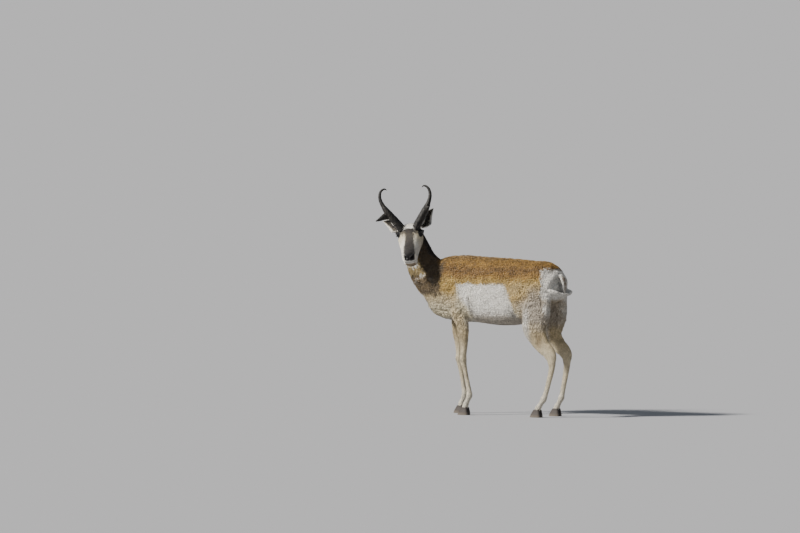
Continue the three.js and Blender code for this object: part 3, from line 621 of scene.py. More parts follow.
def head_colours(p):
    """White cheeks, lips and crown, a blackish blaze to the nose, eye rings; dark jaw patches and chin, with
    painted shade.
    """
    x, y, z = to_head(p).T
    side = np.abs(y)
    mirrored = np.stack([x, side, z], 1)
    soft = 2.0 * wobble(p, 16, 7) + wobble(p, 7, 8)
    brow = smooth(-14, -4, x + soft) * fall(24, 44, x + 3 * soft) * fall(44, 54, side) * smooth(10, 24, z)
    off = np.abs(y - BLAZE_MIDDLE + 2 * soft)
    half, pad = np.interp(x, *BLAZE_HALF), np.interp(z, *NOSE_HALF)
    ring = np.asarray(HEAD_RINGS, float)
    top = np.interp(x, ring[:, 0], ring[:, 1])
    blaze = fall(half - 6, half + 4, off) * smooth(-40, -22, z - top + soft) * smooth(-14, -4, x + soft)
    low = NOSE_LOW + 0.11 * side
    nose = smooth(NOSE_BACK - 4, NOSE_BACK + 4, x + 0.10 * side + 0.5 * soft) * smooth(low - 2, low + 2, z)
    nose = nose * fall(pad - 2, pad + 3, off)
    streak = fall(0.6, 1.2, np.abs(z + 30 + 0.55 * (x - 10)) / 13) * within((-20, 0), (70, 110), x)
    mouth = bell(z - mouth_line(x), 2.6) * smooth(MOUTH_CORNER - 4, MOUTH_CORNER + 8, x)
    chin = smooth(140, 158, x) * fall(CHIN_SHADE_HEIGHT - 3, CHIN_SHADE_HEIGHT + 3, z + soft) * fall(22, 34, side)
    return painted(CREAM, [
        (WHITE, 0.8 * smooth(30, 100, x)),
        # The back of the head takes the neck's dark tan, partly painted shade
        (SHADED_NECK_TAN, 0.85 * fall(-62, -30, x + soft)),
        (NAPE_BROWN, 0.85 * brow),
        (BLAZE, blaze * (0.92 + 0.08 * smooth(40, 110, x))),
        (SHADED_NECK_TAN, 0.35 * smooth(0.0, 0.8, wobble(p, 12, 15)) * blaze * fall(90, 150, x)),
        (BLACK, nose),
        (BLACK, fall(22, 29, apart(mirrored, EYE_SEAT, (0.8, 1, 1.1)) + soft)),
        (NAPE_BROWN, 0.9 * fall(22, 34, apart(mirrored, BROW_SPOT, (1, 1, 0.6)) + soft)),
        # The black cheek patch at the jaw's angle, spread with painted shade behind it
        (BLACK, 0.95 * fall(24, 36, apart(mirrored, JAW_PATCH_AND_SHADE, (0.62, 0.6, 0.8)) + soft)),
        (GREY_CREAM, 0.91 * streak * smooth(44, 54, side)),
        (WHITE, 0.8 * fall(-24, -14, x + soft) * fall(26, 36, side) * smooth(0, 20, z)),
        (WHITE, smooth(96, 116, x) * fall(-36, -32, z + 0.3 * soft) * (1 - nose)),
        # Painted shade: brown under the chin, whose hair is white
        (THROAT_BROWN, 0.85 * chin),
        (NAPE_BROWN, 0.85 * mouth),
    ])


def leg_colours(p, hind):
    """Cream-tan, whiter down the shank; the thigh greyer, white in front, browner low outside."""
    x, y, z = p.T
    layers = [
        (CREAM, 0.75 * fall(330, 470, z + 10 * wobble(p, 60, 9))),
        (WHITE, 0.5 * fall(60, 240, z)),
    ]
    if hind:
        shade = within((380, 410), (455, 500), z) * within((355, 380), (392, 410), y)
        layers += [
            (GREY_CREAM, smooth(470, 560, z + 12 * wobble(p, 50, 10))),
            (WHITE, 0.8 * within((360, 470), (590, 640), z) * fall(300, 345, y)),
            (THROAT_BROWN, 0.55 * shade * smooth(88, 104, np.abs(x))),
            (WHITE, smooth(408, 426, y + 9 * wobble(p, 40, 11)) * smooth(560, 600, z)),
        ]
    return painted(TAN_CREAM, layers)


def tail_colours(p):
    """Brown down the middle of its upper side, white at both edges and below."""
    middle = fall(6, 13, np.abs(p[:, 0]) + 2 * wobble(p, 14, 12))
    return painted(WHITE, [(RUST, middle * smooth(690, 720, p[:, 2]))])


# Where each point belongs


def spine_samples():
    """For each part, its rows, the way its hair lies along them, and the mean radius."""
    parts = {}
    torso = torso_rows(4, 0)
    way = frames(torso, (0, 0, 1))[1]
    parts["torso"] = (torso[:, :3], way, torso[:, 3:6].mean(1))
    neck = refined(NECK_RINGS, 4)
    way = frames(neck, NAPE_WAY)[1]
    parts["neck"] = (neck[6:, :3], -way[6:], neck[6:, 3:6].mean(1))
    x = np.linspace(-80, 178, 20)
    middle = np.stack([x, 0 * x, np.interp(x, [-80, 0, 178], [-30, -32, -34])], 1)
    radius = np.interp(x, [-80, -20, 60, 130, 178], [52, 74, 56, 44, 26])
    parts["head"] = (in_head(middle), np.tile(-HEAD[:, 0], (20, 1)), radius)
    for name in LEG_SPINES:
        rows = leg_rows(name, 3)
        way = frames(rows, (0, -1, 0))[1]
        parts[name] = (rows[3:, :3], way[3:], rows[3:, 3:6].mean(1))
    tail = refined(TAIL_RINGS, 3)
    way = frames(tail, (0, 1, 0.3))[1]
    parts["tail"] = (tail[4:, :3], way[4:], tail[4:, 3:6].mean(1))
    return parts


SPINES = spine_samples()
PART_NAMES = list(SPINES)


def belonging(points):
    """Each point's share in every part and the way of its hair.

    The shares follow exp(-9 * distance / radius), measured to the part's nearest spine sample.
    """
    shares = np.empty((len(points), len(PART_NAMES)))
    ways = np.empty((len(points), len(PART_NAMES), 3))
    for k, name in enumerate(PART_NAMES):
        centre, way, radius = SPINES[name]
        gap = np.linalg.norm(points[:, None] - centre[None], axis=2) / radius[None]
        nearest = np.argmin(gap, 1)
        shares[:, k] = np.exp(-9 * gap[np.arange(len(points)), nearest])
        ways[:, k] = way[nearest]
    shares /= shares.sum(1, keepdims=True)
    return shares, (ways * shares[..., None]).sum(1)


def all_shares(points, parts):
    """Shares for many points, worked out in batches to save memory."""
    return np.concatenate([belonging(batch)[0] for batch in np.array_split(points, parts)])


def markings(points, shares):
    """Every part's colours, mixed by each point's share in the part."""
    paint = {"torso": torso_colours, "neck": neck_colours, "head": head_colours, "tail": tail_colours}
    total = np.zeros((len(points), 3))
    for k, name in enumerate(PART_NAMES):
        use = shares[:, k] > 0.004
        if not use.any():
            continue
        hind = name.startswith("hind")
        colour = paint[name](points[use]) if name in paint else leg_colours(points[use], hind)
        total[use] += colour * shares[use, k: k + 1]
    return np.clip(total, 0, 1)


# The skin


def lofted_body():
    """Torso, neck, head, legs and tail as overlapping closed tubes, drawn in by the coat's depth."""
    parts = [
        closed_grid(tube_points(torso_rows(8, COAT_DEPTH["torso"]), (0, 0, 1), 72, TORSO_FULLNESS)),
        closed_grid(tube_points(inset_rows(NECK_RINGS, 8, COAT_DEPTH["neck"]), NAPE_WAY, 64)),
        closed_grid(tube_points(inset_rows(TAIL_RINGS, 6, COAT_DEPTH["tail"]), (0, 1, 0.3), 28)),
        closed_grid(head_grid(COAT_DEPTH["head"])),
    ]
    for name in LEG_SPINES:
        rows = leg_rows(name, 6)
        parts.append(closed_grid(tube_points(rows, (0, -1, 0), 40, 2.15)))
    for side in (1, -1):
        seat = in_head(on_side(EYE_SEAT, side))
        parts.append(ball(seat, EYE_RADIUS + LID_THICKNESS, 40, 20))
    return joined(parts)


def ball(centre, radius, sides, rings):
    """A sphere of latitude rings: radius * (cos v cos u, cos v sin u, sin v)."""
    v = np.linspace(-np.pi / 2 + 0.05, np.pi / 2 - 0.05, rings)[:, None]
    u = (2 * np.pi * np.arange(sides) / sides)[None, :]
    grid = np.stack([np.cos(v) * np.cos(u), np.cos(v) * np.sin(u), np.sin(v) + 0 * u], -1)
    return closed_grid(centre + radius * grid)


def remeshed(obj, voxel):
    """One closed skin over overlapping tubes, on a grid of the given size."""
    modifier = obj.modifiers.new("skin", "REMESH")
    modifier.mode = "VOXEL"
    modifier.voxel_size = voxel * MM
    graph = bpy.context.evaluated_depsgraph_get()
    mesh = bpy.data.meshes.new_from_object(obj.evaluated_get(graph))
    old = obj.data
    obj.modifiers.clear()
    obj.data = mesh
    bpy.data.meshes.remove(old)
    return mesh


def split_faces(mesh, choose):
    """Halves every edge of the faces whose middles are chosen."""
    bm = bmesh.new()
    bm.from_mesh(mesh)
    bm.faces.ensure_lookup_table()
    middles = np.array([f.calc_center_median() for f in bm.faces]) / MM + FOOTPRINT_MIDDLE
    picked = np.nonzero(choose(middles))[0]
    edges = {e for i in picked for e in bm.faces[i].edges}
    bmesh.ops.subdivide_edges(bm, edges=list(edges), cuts=1, use_grid_fill=True, smooth=0.0)
    bm.to_mesh(mesh)
    bm.free()
    mesh.update()


# Forms under the coat: place, how far out, and spread; each left one is repeated on the right
SWELLS = [
    ((118, -262, 700), 7, 46),
    ((112, -205, 770), 5, 50),
    ((112, -170, 600), 9, 36),
    ((134, -100, 690), -4, 40),
    ((128, 60, 800), 4, 90),
    ((120, 150, 600), 3, 60),
    ((92, 262, 850), 7, 26),
    ((118, 232, 800), -6, 42),
    ((122, 330, 720), 8, 56),
    ((124, 300, 590), 7, 40),
    ((100, 402, 560), 5, 42),
    ((118, 385, 640), -4, 30),
    ((64, 448, 690), 9, 36),
    ((98, 380, 395), -3, 18),
]
FOLDS = [
    ([(138, -96, 658), (132, -92, 605), (116, -90, 550)], -11, 8),
    ([(108, -330, 600), (122, -270, 585), (122, -200, 572)], -7, 8),
    ([(134, 184, 604), (128, 188, 576), (116, 206, 548)], -9, 12),
    ([(124, 262, 700), (132, 290, 670), (130, 330, 655), (122, 370, 668)], -4, 9),
    ([(122, 395, 690), (112, 402, 620), (100, 410, 560)], -7, 9),
    ([(0, 455, 770), (0, 462, 700), (0, 420, 600)], -9, 14),
]


def shaped(points, normals):
    """Points moved along their normals by a bell curve round each named swell and fold."""
    push = np.zeros(len(points))
    for place, height, spread in SWELLS:
        for side in (1, -1):
            push += height * bell(apart(points, np.array(place) * [side, 1, 1]), spread)
    for line, height, spread in FOLDS:
        path = refined(line, 8)
        for side in (1, -1) if line[0][0] else (1,):
            gap = np.linalg.norm(points[:, None] - (path * [side, 1, 1])[None], axis=2).min(1)
            push += height * bell(gap, spread)
    return points + normals * push[:, None]


def eye_axes(side):
    """Columns: along the slit of the lids, up across it, and outward."""
    out = unit(np.array([0.28, side * 0.95, 0.1]))
    along = np.array([1.0, 0.0, -0.18])
    along = unit(along - out * (along @ out))
    up = np.cross(out, along)
    return np.stack([along, up * np.sign(up[2]), out], 1)


def nostril(local, way, side):
    """A slanting hollow with a raised rim, on the faces that look forward or to that side."""
    off = local - on_side(NOSTRIL, side)
    turn = 0.75 * side
    along = off[:, 0] * math.cos(turn) - off[:, 1] * math.sin(turn)
    hole = np.sqrt((along / 10) ** 2 + ((off[:, 2] + 0.35 * along) / 5) ** 2)
    front = smooth(0.1, 0.4, way[:, 1] * side + 0.8 * way[:, 0])
    return front * (-8 * np.exp(-(hole**4)) + 2.2 * bell(hole - 1.5, 0.45))


def lidded(local, side):
    """Points round one eye drawn to its lids: a rim just off the ball, a crease above, a socket between."""
    seat = on_side(EYE_SEAT, side)
    off = local - seat
    a, b, c = (off @ eye_axes(side)).T
    far = np.linalg.norm(off, axis=1)
    reach = EYE_RADIUS * SLIT
    u, v = np.abs(a / reach), b / reach
    edge = np.where(v > 0, v - UPPER_LID * (1 - u**2.2), -LOWER_LID * (1 - u**2) - v)
    edge = np.where(u > 1, np.maximum(edge, u - 1), edge) * reach
    rim = EYE_RADIUS + 0.4 + 2.4 * bell(edge - 2.2, 2.6)
    crease = -1.6 * bell(edge - 8.0, 2.2) * (v > 0) * smooth(3, 5, edge)
    target = far + (rim - far) * fall(4, 15, edge) + crease
    target = target + (EYE_RADIUS - 3.5 - target) * fall(-0.9, 0.9, edge)
    moved = seat + off * (target / np.maximum(far, 1e-6))[:, None]
    near = (c > 0) & (far < EYE_RADIUS + 16)
    return np.where(near[:, None], moved, local)


def faced(points, normals):
    """The face's forms: nostrils, hollow cheeks, the jaw's edge, chin, lips and the lids round each eye."""
    local, way = to_head(points), normals @ HEAD
    x, y, z = local.T
    side = np.abs(y)
    push = 4.0 * bell(z + 18 + 0.16 * (x - 20), 7) * within((8, 30), (70, 100), x) * smooth(20, 34, side)
    for s in (1, -1):
        push += nostril(local, way, s)
        push += -3.0 * bell(apart(local, [62, s * 44, -28], [0.6, 1, 1]), 26)
        push += 3.0 * bell(apart(local, [-20, s * 54, -72], [0.7, 1, 1]), 30)
    push += 7 * bell(x - 158, 18) * fall(-74, -60, z)
    gap = z - mouth_line(x)
    lips = -3.6 * bell(gap, 1.9) + 1.6 * bell(gap - 6, 4) + 1.4 * bell(gap + 6, 4)
    push += smooth(MOUTH_CORNER - 6, MOUTH_CORNER + 8, x) * lips
    push += -2.4 * bell(y, 2.2) * smooth(168, 178, x) * within((-40, -30), (-12, -4), z)
    moved = local + way * push[:, None]
    for s in (1, -1):
        moved = lidded(moved, s)
    return in_head(moved)


def on_head(points):
    """How far a point belongs to the head."""
    x, y, z = to_head(points).T
    inside = within((-112, -96), (196, 206), x) * fall(84, 92, np.abs(y))
    return inside * within((-136, -126), (66, 76), z) * smooth(-210, -190, x + z)


def fine_face(points):
    """True round the eyes and over the muzzle's end."""
    local = to_head(points)
    near = (np.abs(local[:, 0] - 150) < 52) & (np.abs(local[:, 1]) < 52)
    for side in (1, -1):
        near |= apart(local, on_side(EYE_SEAT, side)) < 2 * EYE_RADIUS
    return near & (on_head(points) > 0.5)


def build_skin():
    """The whole skin: tubes joined on a grid, eased at their joins, then shaped, split finer at the face."""
    skin = mesh_object("skin", *lofted_body())
    mesh = remeshed(skin, SKIN_VOXEL)
    points = points_of(mesh)
    mixed = 1 - belonging(points)[0].max(1)
    ease = np.clip(0.25 + 2.4 * mixed, 0, 1)
    relaxed(mesh, np.where(points[:, 2] < SHANK_TOP, 0.35, ease), 26)
    put_points(mesh, shaped(points_of(mesh), normals_of(mesh)))
    split_faces(mesh, lambda p: on_head(p) > 0.5)
    split_faces(mesh, fine_face)
    is_head = on_head(points_of(mesh))
    relaxed(mesh, 0.8 * is_head, 3)
    points = points_of(mesh)
    moved = faced(points, normals_of(mesh))
    put_points(mesh, points + (moved - points) * smooth(0.3, 0.6, is_head)[:, None])
    shade_smooth(mesh)
    return skin


# Ears, horns, eyes and claws


def ear_axes(side):
    """Root, way to the tip, opening and across, in the animal's frame."""
    root = in_head(on_side(EAR_SEAT, side))
    point = unit(HORN @ on_side(EAR_WAYS[side], side))
    opening = HORN @ np.array([0.8, side * 0.55, -0.2])
    opening = unit(opening - point * (opening @ point))
    return root, point, opening, np.cross(point, opening)


def ear_sheet(side, inset, rows=EAR_ROWS, columns=30):
    """One face of the ear: arcs of the rolled leaf, each radius less `inset` of the wall."""
    root, point, opening, across = ear_axes(side)
    u = np.linspace(0, 1, rows)[:, None]
    half = EAR_HALF_WIDTH * (0.5 + 0.62 * np.sin(np.pi * u**0.8)) * (1 - u**5) + 1.2
    curl = 2.5 - 1.5 * smooth(0, 0.75, u)
    radius = half / np.sin(np.minimum(curl, np.pi / 2))
    wall = inset * (EAR_WALL + (1.2 - EAR_WALL) * u)
    angle = curl * np.linspace(-1, 1, columns)[None, :]
    reach = radius - wall
    grid = root + point * (EAR_LENGTH * u)[..., None]
    grid = grid + across * (reach * np.sin(angle))[..., None]
    return grid + opening * (radius * 0.6 - reach * np.cos(angle))[..., None]


def ear_mesh(side):
    """Outer and inner faces joined round the rim into one thin closed leaf."""
    outer = ear_sheet(side, EAR_OUTSIDE)
    inner = ear_sheet(side, EAR_INSIDE)
    return closed_grid(np.concatenate([outer, inner[:, ::-1]], axis=1))


def horn_rows(table, side, steps):
    """Spine rows of a horn in the animal's frame."""
    table = np.asarray(table, float)
    seat = in_head(on_side(HORN_SEAT, side) + [0, HORN_ASIDE, 0])
    outward = side * (table[:, 1] - HORN_LEAN[side] * table[:, 2])
    place = np.stack([table[:, 0], outward, table[:, 2]], 1) @ HORN.T + seat
    return refined(np.hstack([place, table[:, 3:4], table[:, 4:5], table[:, 4:5]]), steps)


def ridged(grid, centre, depth, rings, lines):
    """Each ring swollen by depth * (1 + waves along and round it) / 2, fading to the tip."""
    count, sides = grid.shape[:2]
    t = np.linspace(0, 1, count)[:, None]
    angle = 2 * np.pi * np.arange(sides)[None, :] / sides
    wave = np.sin(2 * np.pi * rings * t + 1.3 * np.sin(angle * 2) + 2.1 * np.sin(9 * t))
    grain = np.sin(lines * angle + 4 * np.sin(5 * t)) * 0.5 + np.sin((lines * 2 + 3) * angle + 3 * t) * 0.3
    push = depth * (1 - t) ** 0.6 * (0.45 * wave + 0.7 * grain)
    out = unit(grid - centre[:, None])
    return grid + out * push[..., None]


def horn_mesh(side):
    """Beam and prong: tapering tubes with rough ridges that fade towards the tips."""
    rows = horn_rows(HORN_BEAM, side, 12)
    rows[:, 3:] -= 0.6
    beam = tube_points(rows, HORN[:, 0], 56)
    beam = ridged(beam, rows[:, :3], 1.0, 15, 11)
    rows = horn_rows(PRONGS[side], side, 14)
    rows[:, 3:] = np.maximum(rows[:, 3:] - 0.6, 0.8)
    prong = tube_points(rows, HORN[:, 2], 48)
    prong = ridged(prong, rows[:, :3], 0.8, 4, 9)
    return joined([closed_grid(beam), closed_grid(prong)])


def build_horn(side, word):
    """Both tubes on one fine grid, so that the prong grows out of the beam."""
    horn = mesh_object(f"horn_sheath_{word}", *horn_mesh(side))
    remeshed(horn, HORN_VOXEL)
    relaxed(horn.data, np.full(len(horn.data.vertices), 0.5), 1)
    shade_smooth(horn.data)
    return horn


def claw_grid(foot, side):
    """Levels from sole to coronet; the toe runs forward, the wall slopes in, and the edges are rounded."""
    levels = np.array([
        [0, 42, 24, 19], [0.8, 45, 26.5, 21.5], [6, 44, 27, 22], [20, 36.5, 25.5, 21.5],
        [34, 27, 22.5, 20], [CORONET_HEIGHT - 1.2, 20.5, 20.5, 19.5], [CORONET_HEIGHT - 0.3, 18, 18, 18],
    ], float)
    rows = refined(levels, 5)
    rows[:, 0] = np.clip(rows[:, 0], 0, CORONET_HEIGHT - 0.3)
    angle = 2 * np.pi * np.arange(40) / 40
    c = rounded(np.cos(angle), 2.3)[None, :]
    s = 0.5 + 0.5 * rounded(np.sin(angle), 2.6)[None, :]
    z, toe, heel, wide = (rows[:, k: k + 1] for k in range(4))
    taper = np.where(c > 0, 1 - 0.25 * c * c, 1)
    groove = 1 + 0.006 * np.sin(z * 1.9)
    x = foot[0] + side * (1.6 + (wide - 1.6) * s * taper * groove)
    y = foot[1] - np.where(c > 0, toe, heel) * c * groove
    return np.stack([x, y, np.broadcast_to(z, x.shape)], -1)


def eye_mesh(side):
    """The eyeball with a slightly bulging cornea, as rings round its outward axis."""
    axes = eye_axes(side)
    v = np.linspace(0.02, np.pi - 0.02, 60)[:, None]
    u = (2 * np.pi * np.arange(64) / 64)[None, :]
    bulge = 0.9 * np.exp(-((v / 0.55) ** 4))
    radius = EYE_RADIUS - 0.9 + bulge
    ball_points = np.stack([np.sin(v) * np.cos(u), np.sin(v) * np.sin(u), np.cos(v) + 0 * u], -1)
    local = ball_points * radius[..., None]
    return closed_grid(in_head(local @ axes.T + on_side(EYE_SEAT, side)))


# Hair


def skin_samples(mesh, count, seed):
    """Points scattered over the faces in proportion to their area, with the smooth normals there."""
    mesh.calc_loop_triangles()
    corner = np.empty(len(mesh.loop_triangles) * 3, int)
    mesh.loop_triangles.foreach_get("vertices", corner)
    tri = corner.reshape(-1, 3)
    points, normals = points_of(mesh), normals_of(mesh)
    a, b, c = (points[tri[:, k]] for k in range(3))
    area = np.linalg.norm(np.cross(b - a, c - a), axis=1)
    draw = np.random.default_rng(seed)
    pick = draw.choice(len(tri), count, p=area / area.sum())
    r1, r2 = np.sqrt(draw.random(count)), draw.random(count)
    w = np.stack([1 - r1, r1 * (1 - r2), r1 * r2], 1)
    place = sum(points[tri[pick, k]] * w[:, k: k + 1] for k in range(3))
    lean = unit(sum(normals[tri[pick, k]] * w[:, k: k + 1] for k in range(3)))
    return place, lean


def spaced(points, gap):
    """Indices of points thinned to one for each cell, where a cell is `gap` wide at each point."""
    cell = np.floor(points / gap[:, None]).astype(np.int64)
    size = np.round(gap * 10).astype(np.int64)
    key = ((cell[:, 0] * 73856093) ^ (cell[:, 1] * 19349663) ^ (cell[:, 2] * 83492791)) + size * 15485863
    return np.unique(key, return_index=True)[1]


def tufts(name, roots, out, lie, sizes, colours, chart, seed, sink=1.2):
    """Flat tapering tufts, each two rings of three points and a tip.

    A ring at t lies at root + lie * length * t + out * (lift * sin(0.75 pi t) - sink * (1 - t)^2),
    swayed across by up to a share of its length, as t^2.
    `sizes` holds length, width, thickness and lift as arrays in millimetres, and `chart` gives each
    root's place on the unwrap of the body.
    """
    draw = np.random.default_rng(seed)
    n = len(roots)
    length, width, thick, lift = (np.broadcast_to(size, n)[:, None] for size in sizes)
    lie = unit(lie - out * (lie * out).sum(1, keepdims=True))
    across = np.cross(out, lie)
    sway = draw.normal(0, 0.13, n)[:, None] * length
    # Each ring darker towards the root, painted shade among the hair; its raised middle lighter than its
    # edges, a painted highlight
    rings, shading_tints = [], []
    for t, broad, ring_shading in ((0.0, 0.8, 0.50), (0.5, 1.0, 0.92)):
        rise = lift * math.sin(0.75 * math.pi * t) - sink * (1 - t) ** 2
        middle = roots + lie * length * t + out * rise + across * sway * t * t
        half = across * width * 0.5 * broad
        rings += [middle - half, middle + out * thick * (1 - 0.5 * t), middle + half]
        shading_tints += [ring_shading * 0.94, ring_shading * 1.04, ring_shading * 0.94]
    rings.append(roots + lie * length + out * lift * math.sin(0.75 * math.pi) + across * sway)
    shading_tints.append(1.08)
    one = [[0, 2, 1], [3, 4, 6], [4, 5, 6], [5, 3, 6]]
    for a, b in ((0, 1), (1, 2), (2, 0)):
        one += [[a, b, b + 3], [a, b + 3, a + 3]]
    faces = (np.array(one)[None] + 7 * np.arange(n)[:, None, None]).reshape(-1, 3)
    mesh = bpy.data.meshes.new(name)
    mesh.vertices.add(n * 7)
    put_points(mesh, np.stack(rings, 1).reshape(-1, 3))
    mesh.loops.add(faces.size)
    mesh.loops.foreach_set("vertex_index", faces.ravel())
    mesh.polygons.add(len(faces))
    mesh.polygons.foreach_set("loop_start", np.arange(0, faces.size, 3))
    shade_smooth(mesh)
    mesh.update(calc_edges=True)
    shade = np.array(shading_tints)[None, :, None] * (1 + 0.19 * draw.normal(size=(n, 1, 1)))
    set_colours(mesh, np.clip(np.clip(colours, 0, 1)[:, None] * shade, 0, 1).reshape(-1, 3))
    patch = np.array([[-1, -1], [0, -1], [1, -1], [-1, 0.2], [0, 0.2], [1, 0.2], [0, 1]])
    uv = (chart[:, None] + UV_PATCH / 2 * patch[None]).reshape(-1, 2)
    mesh.uv_layers.new(name="OFBake").data.foreach_set("uv", uv[faces.ravel()].ravel())
    return placed(name, mesh)


def charted(points, part):
    """The unwrap of one part: turn round its spine across, and distance along the spine up."""
    centre, way, _ = SPINES[part]
    ahead = np.array([0.0, 0.0, 1.0]) if part in ("torso", "head") else np.array([0.0, -1.0, 0.3])
    face = unit(ahead - way * (way @ ahead)[:, None])
    nearest, off, angle = about(points, centre, face, np.cross(way, face))
    turn = angle / (2 * np.pi) + 0.5
    steps = np.concatenate([[0], np.cumsum(np.linalg.norm(np.diff(centre, axis=0), axis=1))])
    along = steps[nearest] + (off * way[nearest]).sum(1)
    low, high = along.min(), along.max()
    return np.stack([0.01 + 0.98 * turn, 0.01 + 0.98 * (along - low) / max(high - low, 1)], 1)


def hair_plan(points, shares):
    """Spacing, length, width, thickness and lift of the hair at each point, from the part it grows on."""
    share = dict(zip(PART_NAMES, shares.T))
    torso, neck, head, tail = (share[k] for k in ("torso", "neck", "head", "tail"))
    y, z = points[:, 1], points[:, 2]
    legs = np.clip(1 - torso - neck - head - tail, 0, 1)
    thigh = legs * smooth(400, 520, z)
    body = torso + thigh
    grown = {"body": body, "neck": neck, "head": head, "shank": legs - thigh, "tail": tail}
    gap, length, width, thick, lift = sum(grown[k][:, None] * np.array(HAIR[k]) for k in HAIR).T
    rump = body * smooth(385, 420, y) * smooth(580, 640, z)
    behind = (body + tail) * smooth(385, 425, y) * within((480, 540), (800, 830), z)
    white = torso * within((-180, -150), (200, 230), y) * fall(738, 756, z)
    nose = head * smooth(150, 168, to_head(points)[:, 0])
    length = length * (1 - 0.25 * rump - 0.25 * behind) * (1 - 0.35 * white) * (1 - 0.55 * nose)
    lift = lift * (1 - 0.3 * rump - 0.2 * behind) * (1 - 0.5 * white)
    lift = (lift + 1.6 * torso * smooth(850, 885, z)) * (1 - 0.6 * nose)
    return gap * (1 - 0.1 * nose), length, width, thick, lift


def bald(points):
    """True on the nose pad, the nostrils, the eyes' openings and the claws' tops."""
    local = to_head(points)
    bare = (local[:, 0] > NOSE_BACK) & (local[:, 2] > -30) & (np.abs(local[:, 1] - BLAZE_MIDDLE) < 29)
    for side in (1, -1):
        bare |= apart(local, on_side(EYE_SEAT, side)) < EYE_RADIUS + 1.2
        bare |= apart(local, on_side(NOSTRIL, side)) < 11
    return bare | (points[:, 2] < CORONET_HEIGHT + 3)


def hair_lie(place, out, shares):
    """Along the part's spine, sagging on the flanks, straight down behind the rump, with a soft wave."""
    _, lie = belonging(place)
    sag = shares[:, PART_NAMES.index("torso")] * smooth(0.0, 1.0, np.abs(out[:, 0]))
    lie = lie + sag[:, None] * np.array([0.0, 0.0, -0.42])
    lie = lie + 0.12 * np.stack([wobble(place, 70, 20 + k) for k in range(3)], 1)
    behind = smooth(375, 415, place[:, 1]) * within((420, 480), (800, 836), place[:, 2])
    return lie + behind[:, None] * (np.array([0.0, -0.15, -1.0]) - lie)


def hair_colours(place, shares, draw):
    """The markings, stippled at their edges and clumped lighter and darker, less so where they are pale."""
    trunk = 1 - shares[:, PART_NAMES.index("head")]
    scatter = draw.normal(0, 1, place.shape) * (0.8 + 4.0 * trunk)[:, None]
    colours = markings(place + scatter, shares)
    pale = smooth(0.35, 0.7, colours[:, 2])
    clumps = 0.18 * wobble(place, 34, 31) + 0.12 * wobble(place, 13, 33)
    return colours * (1 + (1 - 0.55 * pale) * clumps - 0.04 * pale)[:, None]


def coat_groups(part, own, place):
    """The pieces a part's hair is divided into: the barrel in four, the others whole."""
    if part != "torso":
        return {part: own}
    left, fore = place[:, 0] > 0, place[:, 1] < 0
    return {
        "barrel_left_fore": own & left & fore, "barrel_left_rear": own & left & ~fore,
        "barrel_right_fore": own & ~left & fore, "barrel_right_rear": own & ~left & ~fore,
    }


def build_coat(skin):
    """Tufts over the whole skin, thinned to an even spacing, in pieces by the part of the body."""
    place, out = skin_samples(skin.data, SAMPLES_ON_SKIN, 31)
    shares = all_shares(place, 24)
    gap = hair_plan(place, shares)[0]
    keep = spaced(place, np.round(gap * 2) / 2)
    keep = keep[~bald(place[keep])]
    place, out, shares = place[keep], out[keep], shares[keep]
    draw = np.random.default_rng(32)
    _, length, width, thick, lift = hair_plan(place, shares)
    length = length * draw.uniform(0.75, 1.25, len(place))
    lift = lift * draw.uniform(0.6, 1.35, len(place)) * (1 + 0.35 * wobble(place, 30, 30))
    lift = np.maximum(lift, 0.3)
    lie = hair_lie(place, out, shares)
    colours = hair_colours(place, shares, draw)
    strongest = shares.argmax(1)
    pieces = []
    for k, part in enumerate(PART_NAMES):
        for word, use in coat_groups(part, strongest == k, place).items():
            sizes = (length[use], width[use], thick[use], lift[use])
            chart = charted(place[use], part)
            pieces.append(tufts(
                f"coat_{word}", place[use], out[use], lie[use], sizes, colours[use], chart, 40 + k,
            ))
    return pieces


def build_mane():
    """Long dark hair down the nape: tufts either side of the mid line that stand a little and lie back."""
    rows = refined(NECK_RINGS, 30)
    rows = rows[int(len(rows) * 0.34): int(len(rows) * 0.95)]
    rows[:, 3:] -= COAT_DEPTH["neck"]
    centre, way, face, across = frames(rows, NAPE_WAY)
    draw = np.random.default_rng(50)
    n = MANE_TUFTS
    i = draw.integers(0, len(rows), n)
    turn = draw.normal(0, 0.14, n)
    ring = face[i] * (rows[i, 4] * np.cos(turn))[:, None] + across[i] * (rows[i, 3] * np.sin(turn))[:, None]
    size = (1 - np.abs(turn) / 0.7) * draw.uniform(0.7, 1.15, n)
    fade = smooth(0, 0.3, i / len(rows))
    colours = linear(NAPE_BROWN) * draw.uniform(0.6, 1.5, n)[:, None]
    colours = blended(colours, RUST, 0.7 * (1 - fade))
    chart = np.stack([0.5 + turn * 0.6, 0.02 + 0.96 * i / len(rows)], 1)
    sizes = (46 * size * (0.6 + 0.4 * fade), 3.4, 1.2, 12 * size)
    return tufts("coat_mane", centre[i] + ring, unit(ring), -way[i], sizes, colours, chart, 51)


